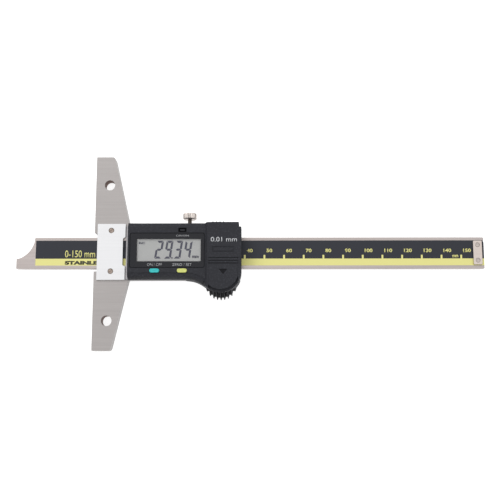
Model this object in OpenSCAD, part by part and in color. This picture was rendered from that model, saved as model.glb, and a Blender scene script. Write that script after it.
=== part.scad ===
// Digital depth gauge, 0 to 150 mm, lying on its back with the display up.
// X runs along the beam, Y along the base and Z up towards the display.
// The origin is midway between the base's two fixing holes, in the plane that the gauge lies on.

/* [Beam] */
// Length of the beam from tip to end
beam_length = 238; // [200:2:260]
// Width of the beam across its flat face
beam_width = 16; // [14:0.5:18]
// Thickness of the beam
beam_thick = 3.5; // [3:0.1:4.5]
// How far the tip stands out of the measuring face
beam_out = 39.6; // [10:0.2:60]
// Height of the measuring tip above the beam's lower edge
tip_height = 5.2; // [4:0.2:7]
// Radius of the hollow that thins the beam down to its tip
tip_arc_r = 11.85; // [10:0.25:14]
// How far past the tip's end the centre of that hollow lies
tip_arc_back = 2.7; // [1:0.1:4]
// How far above the beam's upper edge the centre of that hollow lies
tip_arc_rise = 0.4; // [0:0.1:1]
// Bevel at the beam's far upper corner
beam_corner = 0.4; // [0.2:0.1:2]

/* [Scale on the beam] */
// Distance from the tip's end to the start of the scale's recess
scale_start = 9.7; // [9.6:0.1:14]
// Steel rail left above and below the scale
scale_rail = 1.6; // [1.2:0.1:3]
// Thickness of the patterned scale board
scale_board_t = 0.7; // [0.4:0.05:1]
// Thickness of the printed foil over it
foil_t = 0.25; // [0.15:0.05:0.4]
// How far the foil lies below the rails
foil_sink = 0.05; // [0:0.01:0.1]
// Depth of the printed band and ticks in the foil
print_t = 0.1; // [0.05:0.01:0.12]
// Height of the yellow band along the lower edge
band_h = 3.5; // [2:0.1:5]
// Distance from the beam's tip to the mark for nought
zero_mark = 76.4; // [70:0.2:80]
// Distance between the tick marks
tick_pitch = 10; // [5:1:20]
// Largest reading marked on the scale
scale_max = 150; // [100:10:150]
// Width of a tick mark
tick_w = 0.9; // [0.4:0.1:1.2]
// Height of a tick mark above the band
tick_h = 1.9; // [1:0.1:3]

/* [End stop] */
// Length of the stop plate along the beam
stop_len = 4.45; // [3:0.05:8]
// Width of the stop plate across the beam
stop_w = 12.2; // [10:0.1:12.4]
// Thickness of the stop plate
stop_t = 1.0; // [0.6:0.1:1.1]
// Distance from the stop plate to the beam's end
stop_inset = 1.15; // [0.8:0.05:4]
// Distance between the stop plate's two screws
stop_screw_pitch = 7.9; // [6:0.1:9]

/* [Base] */
// Length of the base along the measuring face
base_length = 100; // [90:1:160]
// Width of the base at its two ends
base_end_w = 9.4; // [9:0.1:12]
// How much the base widens for each millimetre towards its middle
base_taper = 0.2304; // [0.15:0.005:0.3]
// Radius at the outer corners of the base
base_corner_r = 1.5; // [0.5:0.1:3]
// Steel left under the beam
slot_floor = 2.4; // [2:0.1:3.5]
// Length of the relief in the measuring face where the beam comes out
relief_w = 20; // [18:0.5:26]
// Depth of that relief
relief_d = 2.0; // [0.5:0.1:3]
// Depth of the channel in the base between the cover plate and the slider frame
channel_d = 1.0; // [0.2:0.1:2]
// Distance between the two fixing holes
fix_pitch = 70; // [55:1:80]
// Diameter of the fixing holes
fix_d = 5.3; // [4:0.1:6]
// Distance from the measuring face to the fixing holes
fix_inset = 7.1; // [6:0.1:8]

/* [Cover plate on the base] */
// Width of the plate along the beam
plate_w = 14.4; // [12:0.2:16]
// Height of the plate along the base
plate_h = 28.9; // [26:0.1:34]
// Thickness of the plate
plate_t = 1.2; // [0.8:0.1:2]
// Distance from the measuring face to the plate
plate_inset = 1.6; // [0.5:0.1:3]
// Height of the notch in the plate's inner edge
plate_notch_h = 14.6; // [10:0.1:15.4]
// Depth of that notch
plate_notch_d = 1.25; // [0.5:0.05:2]
// Distance between the plate's two screws
plate_screw_pitch = 21; // [20:0.2:24]
// How far the middle between them lies above the middle of the base
plate_screw_lift = 0.5; // [0:0.1:0.5]
// Distance from the measuring face to the plate's screws
plate_screw_inset = 8.7; // [6:0.1:9]

/* [Slider frame] */
// Gap between the cover plate and the slider frame
frame_gap = 0.4; // [0.4:0.1:2]
// Length of the slider frame without its tongue
frame_len = 54.1; // [50:0.1:56]
// Width of the slider frame
frame_w = 27.4; // [26:0.2:30]
// Length of the tongue that reaches under the base
tongue_len = 7.9; // [6:0.1:8.5]
// Length of the bridge over the beam at the base end
bridge_len = 3.5; // [2.5:0.1:4]
// Length of the bridge over the beam at the far end
end_bridge_len = 3.0; // [2:0.1:4]
// Width of each ledge that the detector board lies on
board_ledge = 1.4; // [1:0.1:2]
// Thickness of the gib strip above the beam
gib_t = 0.95; // [0.6:0.05:1.5]
// Running clearance on each face of the beam
run_gap = 0.03; // [0.02:0.01:0.05]
// Distance of the gib's set screws from the frame's two ends
gib_screw_inset = 8; // [5:0.5:12]

/* [Clamp screw] */
// Distance from the slider frame's base end to the clamp screw
clamp_along = 32.1; // [26:0.1:34]
// Diameter of the clamp screw's knurled head
clamp_head_d = 7; // [5:0.1:8]
// Height of that head
clamp_head_h = 3.3; // [2:0.1:5]
// Diameter of the clamp screw's stem
clamp_stem_d = 2.0; // [1.6:0.1:2.6]
// Length of stem between the frame and the head
clamp_stand_off = 3.9; // [1:0.1:6]
// Length of the brass pad ahead of the screw
clamp_pad_len = 1.5; // [1:0.1:2.5]
// Travel left between the pad and the gib
clamp_free = 0.22; // [0.22:0.01:0.4]
// Radial clearance round the clamp screw and its pad
clamp_fit = 0.05; // [0.02:0.01:0.1]

/* [Housing] */
// Width of frame seen beside the housing
bridge_show = 1.8; // [0.5:0.1:2]
// Length of the housing along the beam
housing_len = 57; // [56:0.05:60]
// How far the housing stands out past the slider frame along each side
housing_lip = 0.4; // [0.1:0.05:0.6]
// Height of the display face above the slider frame
housing_h = 7.05; // [6.8:0.05:8]
// Thickness of the chassis under the housing
chassis_t = 0.85; // [0.8:0.05:1]
// Thickness of the housing's outer walls
wall = 1.4; // [1:0.1:1.6]
// How far the battery section stands above the display face
hump_h = 1.3; // [0.8:0.1:2]
// Length of the battery section along the beam
hump_len = 18.1; // [17.8:0.05:18.8]
// Length of the ramp up to the battery section
hump_ramp = 1.0; // [0.4:0.1:1.3]
// Radius of the lobe round the battery
lobe_r = 10.4; // [10.2:0.05:10.8]
// Distance from the middle of the head down to the lobe's centre
lobe_drop = 10.5; // [10:0.1:11]
// Slope of the flank between the straight edge and the lobe
flank_angle = 35; // [30:1:40]
// Radius where the straight edge turns into that flank
flank_r = 15; // [10:1:18]
// Width of the step at the housing's far upper corner
step_w = 1.2; // [1:0.05:1.8]
// Height of that step
step_h = 2.2; // [1:0.1:3]
// Bevel along the housing's lower front edge, across the face
bevel_w = 1.2; // [0.5:0.05:1.4]
// Bevel along that edge, down the side
bevel_h = 2.2; // [1:0.1:3]
// Width of the gentle slope between that bevel and the face
slope_w = 1.5; // [0.5:0.1:1.8]
// How far that slope falls
slope_h = 0.45; // [0.1:0.05:0.6]
// Width of the fine groove between that slope and the face
crease_w = 0.4; // [0.2:0.05:0.6]
// Depth of that groove
crease_d = 0.25; // [0.1:0.05:0.4]
// Bevel along the housing's upper front edge, across the face
top_bevel_w = 2.1; // [0.5:0.1:2.1]
// Bevel along that edge, down the side
top_bevel_h = 1.5; // [0.5:0.1:2.5]
// Length of the plain field above the battery lid that a groove goes round
badge_w = 10.9; // [8:0.1:12]
// Height of that field
badge_h = 2.9; // [2:0.1:4]
// Width of the groove round it
badge_groove_w = 0.6; // [0.3:0.05:0.8]
// Depth of the groove round it
badge_groove_d = 0.3; // [0.1:0.05:0.5]

/* [Thumb rest] */
// Radius of the serrated thumb rest
rest_r = 7.9; // [7.6:0.1:8.6]
// Radius of the thumb rest where it meets the front
rest_top_r = 5.6; // [5:0.1:6.2]
// Distance from the lobe's centre down to the thumb rest's centre
rest_drop = 5.5; // [5:0.1:6]
// Distance of the lower end of the thumb rest above the resting plane
rest_lift = 2.2; // [1:0.1:4]
// Height at which the thumb rest starts to lean in
rest_straight = 3.8; // [2:0.1:5]
// Distance between the serrations
tooth_pitch = 1.87; // [1.5:0.01:2.1]
// Depth of the serrations
tooth_depth = 1.3; // [0.5:0.1:1.5]

/* [Display] */
// Length of the glossy bezel
bezel_w = 37.25; // [35:0.05:37.4]
// Height of the glossy bezel
bezel_h = 17.4; // [16.5:0.1:17.6]
// How far the bezel lies above the middle of the head
bezel_lift = 0.1; // [0:0.05:0.2]
// Distance from the housing's base end to the bezel
bezel_inset = 1.2; // [1.1:0.05:1.4]
// Thickness of the bezel
bezel_t = 0.85; // [0.6:0.05:0.9]
// Depth of the pocket that holds the bezel
bezel_pocket = 1.0; // [1:0.05:1.1]
// Gap round the bezel in its pocket
bezel_gap = 0.2; // [0.05:0.05:0.2]
// Radius at the bezel's corners
bezel_r = 1.0; // [0.5:0.1:2]
// Length of the display window
lcd_w = 32; // [28:0.2:33]
// Height of the display window
lcd_h = 11.4; // [9:0.1:12]
// Distance from the bezel's edge to the window
lcd_inset = 3.45; // [2.6:0.05:3.6]
// How far the window lies above the middle of the head
lcd_lift = 0.25; // [0:0.05:0.5]
// Overlap of the display glass behind the bezel
glass_lap = 1.2; // [0.8:0.1:1.4]
// Thickness of the display glass
glass_t = 1.2; // [0.8:0.1:1.3]
// Wall of the plastic holder round the glass
holder_wall = 0.7; // [0.5:0.05:0.8]

/* [Buttons] */
// Distance from the housing's base end to the on and off button
on_off_along = 13.6; // [11:0.1:16]
// Distance from the housing's base end to the zero button and the origin key
zero_along = 27.4; // [24:0.1:30]
// Distance of the two buttons below the middle of the head
button_drop = 10.2; // [10.1:0.05:10.4]
// Length of a button
button_w = 5; // [4:0.1:6]
// Width of a button
button_h = 2.1; // [1.9:0.1:2.4]
// How far a button stands above the display face
button_proud = 0.7; // [0.5:0.1:1]
// Travel of a button
button_travel = 0.4; // [0.3:0.05:0.45]
// Gap round a button and round other lids and plates
trim_gap = 0.1; // [0.05:0.01:0.15]
// Height of the origin key above the middle of the head
origin_lift = 10.45; // [10.4:0.05:10.7]
// Length of the origin key's recess
origin_w = 4.1; // [3.2:0.1:4.4]
// Width of the origin key's recess
origin_h = 2.2; // [1.8:0.1:2.3]
// Length of the origin key in its recess
origin_key_w = 2.4; // [1.6:0.1:2.8]
// Width of the origin key
origin_key_h = 1; // [0.8:0.05:1.4]

/* [Battery] */
// Diameter of the button cell
cell_d = 11.6; // [11.4:0.1:11.6]
// Thickness of the button cell
cell_t = 5.4; // [5.2:0.1:5.4]
// Clearance round the button cell
cell_gap = 0.25; // [0.2:0.05:0.3]
// Width of the battery lid
lid_w = 14.7; // [14.4:0.1:14.9]
// Distance from the housing's far end to the lid
lid_inset = 1.7; // [1.6:0.05:1.9]
// Distance of the lid's straight edge below the middle of the head
lid_top_drop = 3.9; // [3.6:0.1:4.2]
// Width of the lobe's rim outside the lid
lid_rim = 1.35; // [1:0.05:2]
// Width of the rails that hold the lid
lid_rail_w = 0.45; // [0.3:0.05:0.5]
// Thickness of those rails
lid_rail_t = 0.5; // [0.4:0.05:0.6]
// Distance between the fine lines across the lid's straight edge
line_pitch = 1.35; // [0.8:0.05:1.6]
// Width of those lines
line_w = 0.45; // [0.2:0.05:0.6]
// Depth of those lines
line_d = 0.15; // [0.05:0.05:0.3]
// Length of the arrow on the lid
arrow_len = 2.7; // [1.5:0.1:3]
// Width of the arrow on the lid
arrow_w = 4.3; // [2:0.1:5]

/* [Data port] */
// Length of the port cover's outer face
cover_w = 16.1; // [14:0.1:16.2]
// How far the cover stands out of the housing
cover_t = 0.2; // [0.2:0.05:0.6]
// Length of the port opening
port_w = 11; // [9:0.1:12]
// Height of the port opening
port_h = 3.6; // [3:0.1:3.8]

/* [Screws] */
// Thread diameter of the small screws
screw_d = 1.6; // [1.4:0.1:1.8]
// Head diameter of the small screws
screw_head_d = 2.7; // [2.4:0.1:3]
// Head height of the small screws
screw_head_h = 0.7; // [0.5:0.05:0.8]
// Clearance round a screw's thread and head
screw_gap = 0.05; // [0.03:0.01:0.1]

/* [Hidden] */
$fn = 64;
// Extra length of a cutting shape past the face that it cuts
cut = 1;
// Reach of a cutting shape that has to pass right through
through = 40;
// Small overlap where two shapes of one piece join
lap = 0.02;
// Gap between flat faces that are only seated against each other
seat_gap = 0.05;
// Width of the driver slot in a screw
driver_w = 0.4;

// Slot, beam and gib across the base
slot_w = beam_width + gib_t + 3 * run_gap;
beam_y = -slot_w / 2 + run_gap + beam_width / 2;
beam_top = beam_y + beam_width / 2;
beam_low = beam_y - beam_width / 2;
beam_z = slot_floor + run_gap;
beam_front = beam_z + beam_thick;
beam_mid_z = beam_z + beam_thick / 2;
base_thick = beam_front + run_gap;
face_x = -fix_inset;
tip_x = face_x - beam_out;
beam_end = tip_x + beam_length;

// Scale recess in the beam
scale_x = tip_x + scale_start;
scale_low = beam_low + scale_rail;
scale_h = beam_width - 2 * scale_rail;
foil_top = beam_front - foil_sink;
board_z = foil_top - foil_t - scale_board_t;
stop_x = beam_end - stop_inset - stop_len;
// Places of the tick marks, as far as the scale reaches before the end stop
tick_x = [for (i = [0:scale_max / tick_pitch]) let (x = tip_x + zero_mark + i * tick_pitch)
    if (x + tick_w < stop_x) x];
stop_screw_head_d = 2.2;
stop_screw_head_h = 0.5;
stop_screw_len = stop_t + 2.4;

// Slider frame
plate_x = face_x + plate_inset;
frame_x = plate_x + plate_w + frame_gap;
frame_end = frame_x + frame_len;
frame_front = base_thick + plate_t;
head_y = beam_y;
head_low = head_y - frame_w / 2;
head_top = head_y + frame_w / 2;
tongue_x = frame_x - tongue_len;
rear_t = 0.8;
rear_x = frame_x + 7;
rear_w = frame_len - 11;
rear_h = slot_w - 3;
ledge_y = slot_w / 2 + board_ledge;
detector_t = frame_front - base_thick - 0.4;
detector_z = frame_front - detector_t;
clamp_x = frame_x + clamp_along;
joint_screw_y = (slot_w / 2 + frame_w / 2) / 2;
joint_screw_x = frame_x - tongue_len / 2;
joint_screw_len = base_thick - 0.8;
plate_screw_len = frame_front - slot_floor - 0.5;
rear_screw_len = slot_floor - 0.3;
rear_screw_inset = 2.2;
gib_back = beam_top + run_gap + gib_t;
pad_y = gib_back + run_gap + clamp_free;

// Housing
housing_x = frame_x + bridge_show;
housing_end = housing_x + housing_len;
housing_low = head_low - housing_lip;
housing_top = head_top + housing_lip;
chassis_top = frame_front + chassis_t;
face_z = frame_front + housing_h;
hump_top = face_z + hump_h;
hump_x = housing_end - hump_len;
lobe_x = housing_end - lobe_r;
lobe_y = head_y - lobe_drop;
flank_tangent = [lobe_x - lobe_r * sin(flank_angle), lobe_y - lobe_r * cos(flank_angle)];
flank_start_y = housing_low - flank_r * (1 - cos(flank_angle));
flank_start_x = flank_tangent[0] - (flank_start_y - flank_tangent[1]) / tan(flank_angle);
flank_arc_x = flank_start_x - flank_r * sin(flank_angle);
cavity_x = housing_x + wall;
cavity_end = hump_x + 1;
cavity_low = housing_low + wall;
cavity_w = housing_top - housing_low - 2 * wall;
ceiling_z = face_z - wall;
boss_d = 4;
boss_x = [cavity_x + 2.5, cavity_end - 2.4];
boss_y = [head_low + 2.2, head_top - 2.2];
housing_screw_len = ceiling_z - 1.5;

// Display stack, from the bezel down to the circuit board
pocket_z = face_z - bezel_pocket;
bezel_x = housing_x + bezel_inset;
bezel_y = head_y + bezel_lift - bezel_h / 2;
lcd_x = bezel_x + lcd_inset;
lcd_y = head_y + lcd_lift - lcd_h / 2;
glass_top = pocket_z - 0.05;
glass_z = glass_top - glass_t;
glass_x = lcd_x - glass_lap;
glass_y = lcd_y - glass_lap;
glass_w = lcd_w + 2 * glass_lap;
glass_h = lcd_h + 2 * glass_lap;
pcb_t = 0.8;
pcb_stand = 1.35;
pcb_z = chassis_top + pcb_stand;
pcb_top = pcb_z + pcb_t;
zebra_t = 1.6;

// Buttons
button_y = head_y - button_drop;
flange_lap = 0.5;
flange_t = 0.6;
flange_top = ceiling_z - trim_gap;
flange_z = flange_top - flange_t;
dome_top = flange_z - button_travel - 0.05;
origin_y = head_y + origin_lift;
on_off_x = housing_x + on_off_along;
zero_x = housing_x + zero_along;

// Battery section
lid_x = housing_end - lid_inset - lid_w;
lid_end = lid_x + lid_w;
lid_y = head_y - lid_top_drop;
contact_t = 0.2;
cell_z = chassis_top + contact_t + 0.02;
lid_z = cell_z + cell_t + 0.05;
lid_floor = lid_z - 0.03;
cell_x = lid_x + lid_w / 2;
cell_y = lid_y - cell_d / 2 - 1.1;
rest_x = lobe_x;
rest_y = lobe_y - rest_drop;
rest_top_z = lid_floor - 0.25;
tooth_count = 8;
badge_y = lid_y + 4.3;
badge_r = 0.5;

// Data port
port_x = housing_end - step_w - 2 - port_w;
port_z = chassis_top + 0.7;
cover_x = housing_end - step_w - 0.2 - cover_w;
cover_z = chassis_top + 0.4;
port_room_y = lid_y + 1.4;

// Rounded bar lying along X with full round ends
module pill(length, width, height) {
    for (side = [-1, 1])
        translate([side * (length - width) / 2, 0, 0]) cylinder(h = height, d = width);
    translate([-(length - width) / 2, -width / 2, 0]) cube([length - width, width, height]);
}

// Plate with its corner at the origin and four rounded corners
module round_plate(length, width, height, r) {
    translate([r, 0, 0]) cube([length - 2 * r, width, height]);
    translate([0, r, 0]) cube([length, width - 2 * r, height]);
    for (x = [r, length - r], y = [r, width - r]) translate([x, y, 0]) cylinder(h = height, r = r);
}

// Screw with a flat slotted head, standing head up with the head's top at z = 0
module flat_screw(length, head_d = screw_head_d, head_h = screw_head_h, d = screw_d) {
    difference() {
        union() {
            translate([0, 0, -head_h]) cylinder(h = head_h, d = head_d);
            translate([0, 0, -length]) cylinder(h = length - head_h / 2, d = d);
        }
        translate([-head_d, -driver_w / 2, -head_h / 2]) cube([2 * head_d, driver_w, head_h]);
    }
}

// Hole for that screw
module flat_screw_hole(length, head_d = screw_head_d, head_h = screw_head_h, d = screw_d) {
    translate([0, 0, -head_h]) cylinder(h = head_h + cut, d = head_d + 2 * screw_gap);
    translate([0, 0, -length - screw_gap]) cylinder(h = length, d = d + 2 * screw_gap);
}

// Puts its children at each of a screw group's places
module at_points(points) {
    for (p = points) translate(p) children();
}

// Turns a screw or its hole over, so that it goes in from the back
module from_back() {
    mirror([0, 0, 1]) children();
}

plate_points = [for (s = [-1, 1])
    [face_x + plate_screw_inset, plate_screw_lift + s * plate_screw_pitch / 2, frame_front]];
joint_points = [for (s = [-1, 1]) [joint_screw_x, s * joint_screw_y, 0]];
rear_points = [for (x = [rear_x + rear_screw_inset, rear_x + rear_w - rear_screw_inset], s = [-1, 1])
    [x, s * (rear_h / 2 - rear_screw_inset), 0]];
housing_points = [for (x = boss_x, y = boss_y) [x, y, 0]];
stop_points = [for (s = [-1, 1])
    [stop_x + stop_len / 2, beam_y + s * stop_screw_pitch / 2, foil_top + stop_t]];
gib_points = [for (x = [frame_x + gib_screw_inset, frame_end - gib_screw_inset])
    [x, 0, beam_mid_z]];

// Outline of the base, seen from the front
module base_outline() {
    half = base_length / 2;
    steps = 8;
    lean = atan(base_taper);
    arc_x = face_x + base_end_w + base_corner_r * (base_taper - sqrt(1 + base_taper * base_taper));
    arc_y = half - base_corner_r;
    corner = [for (i = [0:steps]) let (a = lean + (90 - lean) * i / steps)
        [arc_x + base_corner_r * cos(a), arc_y + base_corner_r * sin(a)]];
    lower_corner = [for (i = [steps:-1:0]) [corner[i][0], -corner[i][1]]];
    middle_x = face_x + base_end_w + base_taper * half;
    polygon(concat([[face_x, -half]], lower_corner, [[middle_x, 0]], corner, [[face_x, half]]));
}

module base_block() {
    color([0.70, 0.69, 0.68]) difference() {
        linear_extrude(base_thick) base_outline();
        translate([face_x - cut, -slot_w / 2, slot_floor]) cube([through, slot_w, base_thick]);
        translate([face_x - cut, -relief_w / 2, -cut])
            cube([relief_d + cut, relief_w, base_thick + 2 * cut]);
        translate([frame_x - frame_gap, head_low, base_thick - channel_d])
            cube([frame_gap + cut, frame_w, channel_d + cut]);
        translate([tongue_x - seat_gap, head_low - seat_gap, -cut])
            cube([through, frame_w + 2 * seat_gap, slot_floor + cut]);
        translate([frame_x, head_low - seat_gap, -cut])
            cube([through, frame_w + 2 * seat_gap, base_thick + 2 * cut]);
        for (s = [-1, 1]) translate([0, s * fix_pitch / 2, -cut])
            cylinder(h = base_thick + 2 * cut, d = fix_d);
        at_points(plate_points) flat_screw_hole(plate_screw_len);
        at_points(joint_points) from_back() flat_screw_hole(joint_screw_len);
    }
}

module base_plate() {
    notch_x = plate_x + plate_w - plate_notch_d;
    bevel = 0.6;
    color([0.91, 0.91, 0.91]) difference() {
        translate([plate_x, -plate_h / 2, base_thick]) cube([plate_w, plate_h, plate_t]);
        translate([0, 0, base_thick - cut]) linear_extrude(plate_t + 2 * cut) polygon([
            [notch_x, -plate_notch_h / 2 + bevel], [notch_x + bevel, -plate_notch_h / 2],
            [frame_x, -plate_notch_h / 2], [frame_x, plate_notch_h / 2],
            [notch_x + bevel, plate_notch_h / 2], [notch_x, plate_notch_h / 2 - bevel]]);
        at_points(plate_points) flat_screw_hole(frame_front);
    }
}

module base_plate_screws() {
    color([0.55, 0.49, 0.46]) at_points(plate_points) flat_screw(plate_screw_len);
}

module base_joint_screws() {
    color([0.5, 0.5, 0.5]) at_points(joint_points) from_back() flat_screw(joint_screw_len);
}

module slider_frame() {
    color([0.74, 0.73, 0.72]) difference() {
        union() {
            translate([frame_x, head_low, 0]) cube([frame_len, frame_w, frame_front]);
            translate([tongue_x, head_low, 0]) cube([tongue_len + cut, frame_w, slot_floor]);
        }
        translate([frame_x - cut, -slot_w / 2, slot_floor])
            cube([frame_len + 2 * cut, slot_w, base_thick - slot_floor]);
        translate([frame_x + bridge_len, -slot_w / 2, slot_floor])
            cube([frame_len - bridge_len - end_bridge_len, slot_w, frame_front]);
        translate([frame_x + bridge_len, -ledge_y - trim_gap, detector_z])
            cube([frame_len - bridge_len - end_bridge_len, 2 * ledge_y + 2 * trim_gap, frame_front]);
        translate([rear_x - trim_gap, -rear_h / 2 - trim_gap, -cut])
            cube([rear_w + 2 * trim_gap, rear_h + 2 * trim_gap, rear_t + cut]);
        at_points(rear_points) from_back() flat_screw_hole(rear_screw_len);
        at_points(joint_points) from_back() flat_screw_hole(base_thick);
        at_points(housing_points) from_back() flat_screw_hole(frame_front + cut);
        for (p = gib_points) translate([p[0], 0, p[2]]) rotate([-90, 0, 0])
            cylinder(h = frame_w, d = screw_d + 2 * screw_gap);
        translate([clamp_x, 0, beam_mid_z]) rotate([-90, 0, 0])
            cylinder(h = frame_w, d = clamp_stem_d + 2 * clamp_fit);
    }
}

module gib_strip() {
    color([0.72, 0.60, 0.35]) translate([frame_x + 0.5, beam_top + run_gap, slot_floor + 0.1])
        cube([frame_len - 1, gib_t, beam_thick - 0.1]);
}

module gib_set_screws() {
    set_len = 3.2;
    driver_depth = 0.6;
    color([0.35, 0.35, 0.36]) for (p = gib_points) translate([p[0], gib_back + run_gap, p[2]])
        rotate([-90, 0, 0]) difference() {
            cylinder(h = set_len, d = screw_d);
            translate([-screw_d, -driver_w / 2, set_len - driver_depth])
                cube([2 * screw_d, driver_w, driver_depth + cut]);
        }
}

module rear_plate() {
    color([0.76, 0.76, 0.77]) difference() {
        translate([rear_x, -rear_h / 2, 0]) cube([rear_w, rear_h, rear_t]);
        at_points(rear_points) from_back() flat_screw_hole(slot_floor);
    }
}

module rear_plate_screws() {
    color([0.5, 0.5, 0.5]) at_points(rear_points) from_back() flat_screw(rear_screw_len);
}

module clamp_pad() {
    color([0.75, 0.62, 0.33]) translate([clamp_x, pad_y, beam_mid_z]) rotate([-90, 0, 0])
        cylinder(h = clamp_pad_len, d = clamp_stem_d);
}

module clamp_screw() {
    stem_y = pad_y + clamp_pad_len + lap;
    head_bottom = head_top + clamp_stand_off;
    edge = 0.5;
    color([0.72, 0.68, 0.66]) translate([clamp_x, 0, beam_mid_z]) rotate([-90, 0, 0]) {
        translate([0, 0, stem_y]) cylinder(h = head_bottom - stem_y + cut, d = clamp_stem_d);
        translate([0, 0, head_bottom]) {
            cylinder(h = edge, d1 = clamp_head_d - 2 * edge, d2 = clamp_head_d);
            translate([0, 0, edge]) cylinder(h = clamp_head_h - 2 * edge, d = clamp_head_d);
            translate([0, 0, clamp_head_h - edge])
                cylinder(h = edge, d1 = clamp_head_d, d2 = clamp_head_d - 2 * edge);
        }
    }
}

// Lower edge of the head from the straight part round to the lobe
module flank_outline() {
    steps = 12;
    arc = [for (i = [0:steps]) [
        flank_arc_x + flank_r * sin(flank_angle * i / steps),
        housing_low - flank_r * (1 - cos(flank_angle * i / steps))]];
    polygon(concat(arc, [flank_tangent, [lobe_x, lobe_y], [lobe_x, head_y], [flank_arc_x, head_y]]));
}

// Outline of the plastic housing, seen from the front
module housing_outline() {
    difference() {
        union() {
            translate([housing_x, housing_low]) square([lobe_x - housing_x, housing_top - housing_low]);
            translate([housing_x, lobe_y]) square([housing_len, housing_top - lobe_y]);
            flank_outline();
            translate([lobe_x, lobe_y]) circle(r = lobe_r, $fn = 128);
        }
        translate([housing_end - step_w, housing_top - step_h]) square(step_h + cut);
    }
}

// Serrated cone that the thumb pushes
module thumb_cone() {
    lean_z = rest_lift + rest_straight;
    difference() {
        translate([rest_x, rest_y, 0]) {
            translate([0, 0, rest_lift]) cylinder(h = rest_straight, r = rest_r, $fn = 128);
            translate([0, 0, lean_z])
                cylinder(h = rest_top_z - lean_z, r1 = rest_r, r2 = rest_top_r, $fn = 128);
        }
        lean = atan((rest_r - rest_top_r) / (rest_top_z - lean_z));
        for (i = [0:tooth_count - 1]) {
            dx = (i - (tooth_count - 1) / 2) * tooth_pitch;
            surface_y = rest_y - sqrt(max(rest_r * rest_r - dx * dx, 0));
            translate([rest_x + dx, surface_y, 0]) tooth_groove();
            translate([rest_x + dx, surface_y, lean_z]) rotate([-lean, 0, 0]) tooth_groove();
        }
    }
}

// One groove of the serration, cut up from its own origin
module tooth_groove() {
    half = 0.42 * tooth_pitch;
    floor_half = 0.24 * tooth_pitch;
    reach = 3;
    linear_extrude(hump_top + cut)
        polygon([[floor_half, tooth_depth], [-floor_half, tooth_depth], [-half, 0], [-half, -reach],
            [half, -reach], [half, 0]]);
}

module lower_housing() {
    color([0.23, 0.23, 0.24]) difference() {
        union() {
            translate([0, 0, frame_front]) linear_extrude(chassis_t) housing_outline();
            translate([0, 0, rest_lift]) linear_extrude(frame_front - rest_lift + lap) intersection() {
                housing_outline();
                translate([housing_x, housing_low - through]) square([housing_len, through]);
            }
            intersection() {
                thumb_cone();
                translate([housing_x, housing_low - through, 0]) cube([housing_len, through, hump_top]);
            }
            for (x = boss_x, y = boss_y) translate([x, y, chassis_top - lap])
                cylinder(h = pcb_stand + lap, d = boss_d);
        }
        translate([0, 0, chassis_top]) linear_extrude(hump_top) difference() {
            housing_outline();
            translate([cavity_x, cavity_low]) square([cavity_end - cavity_x, cavity_w]);
        }
        translate([lobe_x, lobe_y, -cut])
            cylinder(h = frame_front + cut - 2 * lap, r = lobe_r - wall);
        at_points(housing_points) cylinder(h = 2 * through, d = screw_d + 2 * screw_gap, center = true);
    }
}

module front_housing() {
    color([0.24, 0.24, 0.26]) difference() {
        union() {
            translate([0, 0, chassis_top]) linear_extrude(face_z - chassis_top) housing_outline();
            translate([0, 0, face_z - lap]) linear_extrude(hump_h + lap) intersection() {
                housing_outline();
                translate([hump_x + hump_ramp, -2 * frame_w]) square([hump_len, 4 * frame_w]);
            }
            intersection() {
                translate([hump_x, housing_top, face_z]) rotate([90, 0, 0])
                    linear_extrude(2 * frame_w) polygon([[0, -lap], [hump_ramp, hump_h],
                        [hump_ramp + cut, hump_h], [hump_ramp + cut, -lap]]);
                linear_extrude(hump_top) housing_outline();
            }
        }
        difference() {
            translate([cavity_x, cavity_low, chassis_top - cut])
                cube([cavity_end - cavity_x, cavity_w, ceiling_z - chassis_top + cut]);
            for (x = boss_x, y = boss_y) translate([x, y, pcb_top + trim_gap])
                cylinder(h = ceiling_z, d = boss_d);
        }
        at_points(housing_points) translate([0, 0, chassis_top])
            cylinder(h = housing_screw_len + 0.5 - chassis_top, d = screw_d + 2 * screw_gap);
        translate([glass_x - trim_gap, glass_y - trim_gap, ceiling_z - cut])
            cube([glass_w + 2 * trim_gap, glass_h + 2 * trim_gap, 3]);
        translate([bezel_x - bezel_gap, bezel_y - bezel_gap, pocket_z])
            round_plate(bezel_w + 2 * bezel_gap, bezel_h + 2 * bezel_gap, 3, bezel_r);
        for (x = [on_off_x, zero_x]) translate([x, button_y, ceiling_z - cut])
            pill(button_w + 2 * trim_gap, button_h + 2 * trim_gap, 4);
        translate([zero_x - origin_w / 2, origin_y - origin_h / 2, ceiling_z - cut])
            cube([origin_w, origin_h, 4]);
        badge_groove();
        lid_lines([0, 1, 2], hump_x, hump_len + cut);
        front_bevels();
        battery_room();
        port_room();
    }
}

// Groove round the plain field above the battery lid
module badge_groove() {
    translate([cell_x - badge_w / 2, badge_y - badge_h / 2, hump_top - badge_groove_d]) difference() {
        round_plate(badge_w, badge_h, cut, badge_r);
        translate([badge_groove_w, badge_groove_w, -cut])
            cube([badge_w - 2 * badge_groove_w, badge_h - 2 * badge_groove_w, 3 * cut]);
    }
}

// Fine lines across the battery section, at the lid's straight edge and below it
module lid_lines(rows, x, length) {
    for (i = rows) translate([x, lid_y - i * line_pitch - line_w / 2, hump_top - line_d])
        cube([length, line_w, cut]);
}

// Section of a bevel's cutting shape, with the housing's edge at x = 0 and the housing on its +x side
module bevel_section(width, height, top = face_z) {
    polygon([[-cut, top - height - cut * height / width], [width, top], [width, hump_top + cut],
        [-cut, hump_top + cut]]);
}

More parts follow.
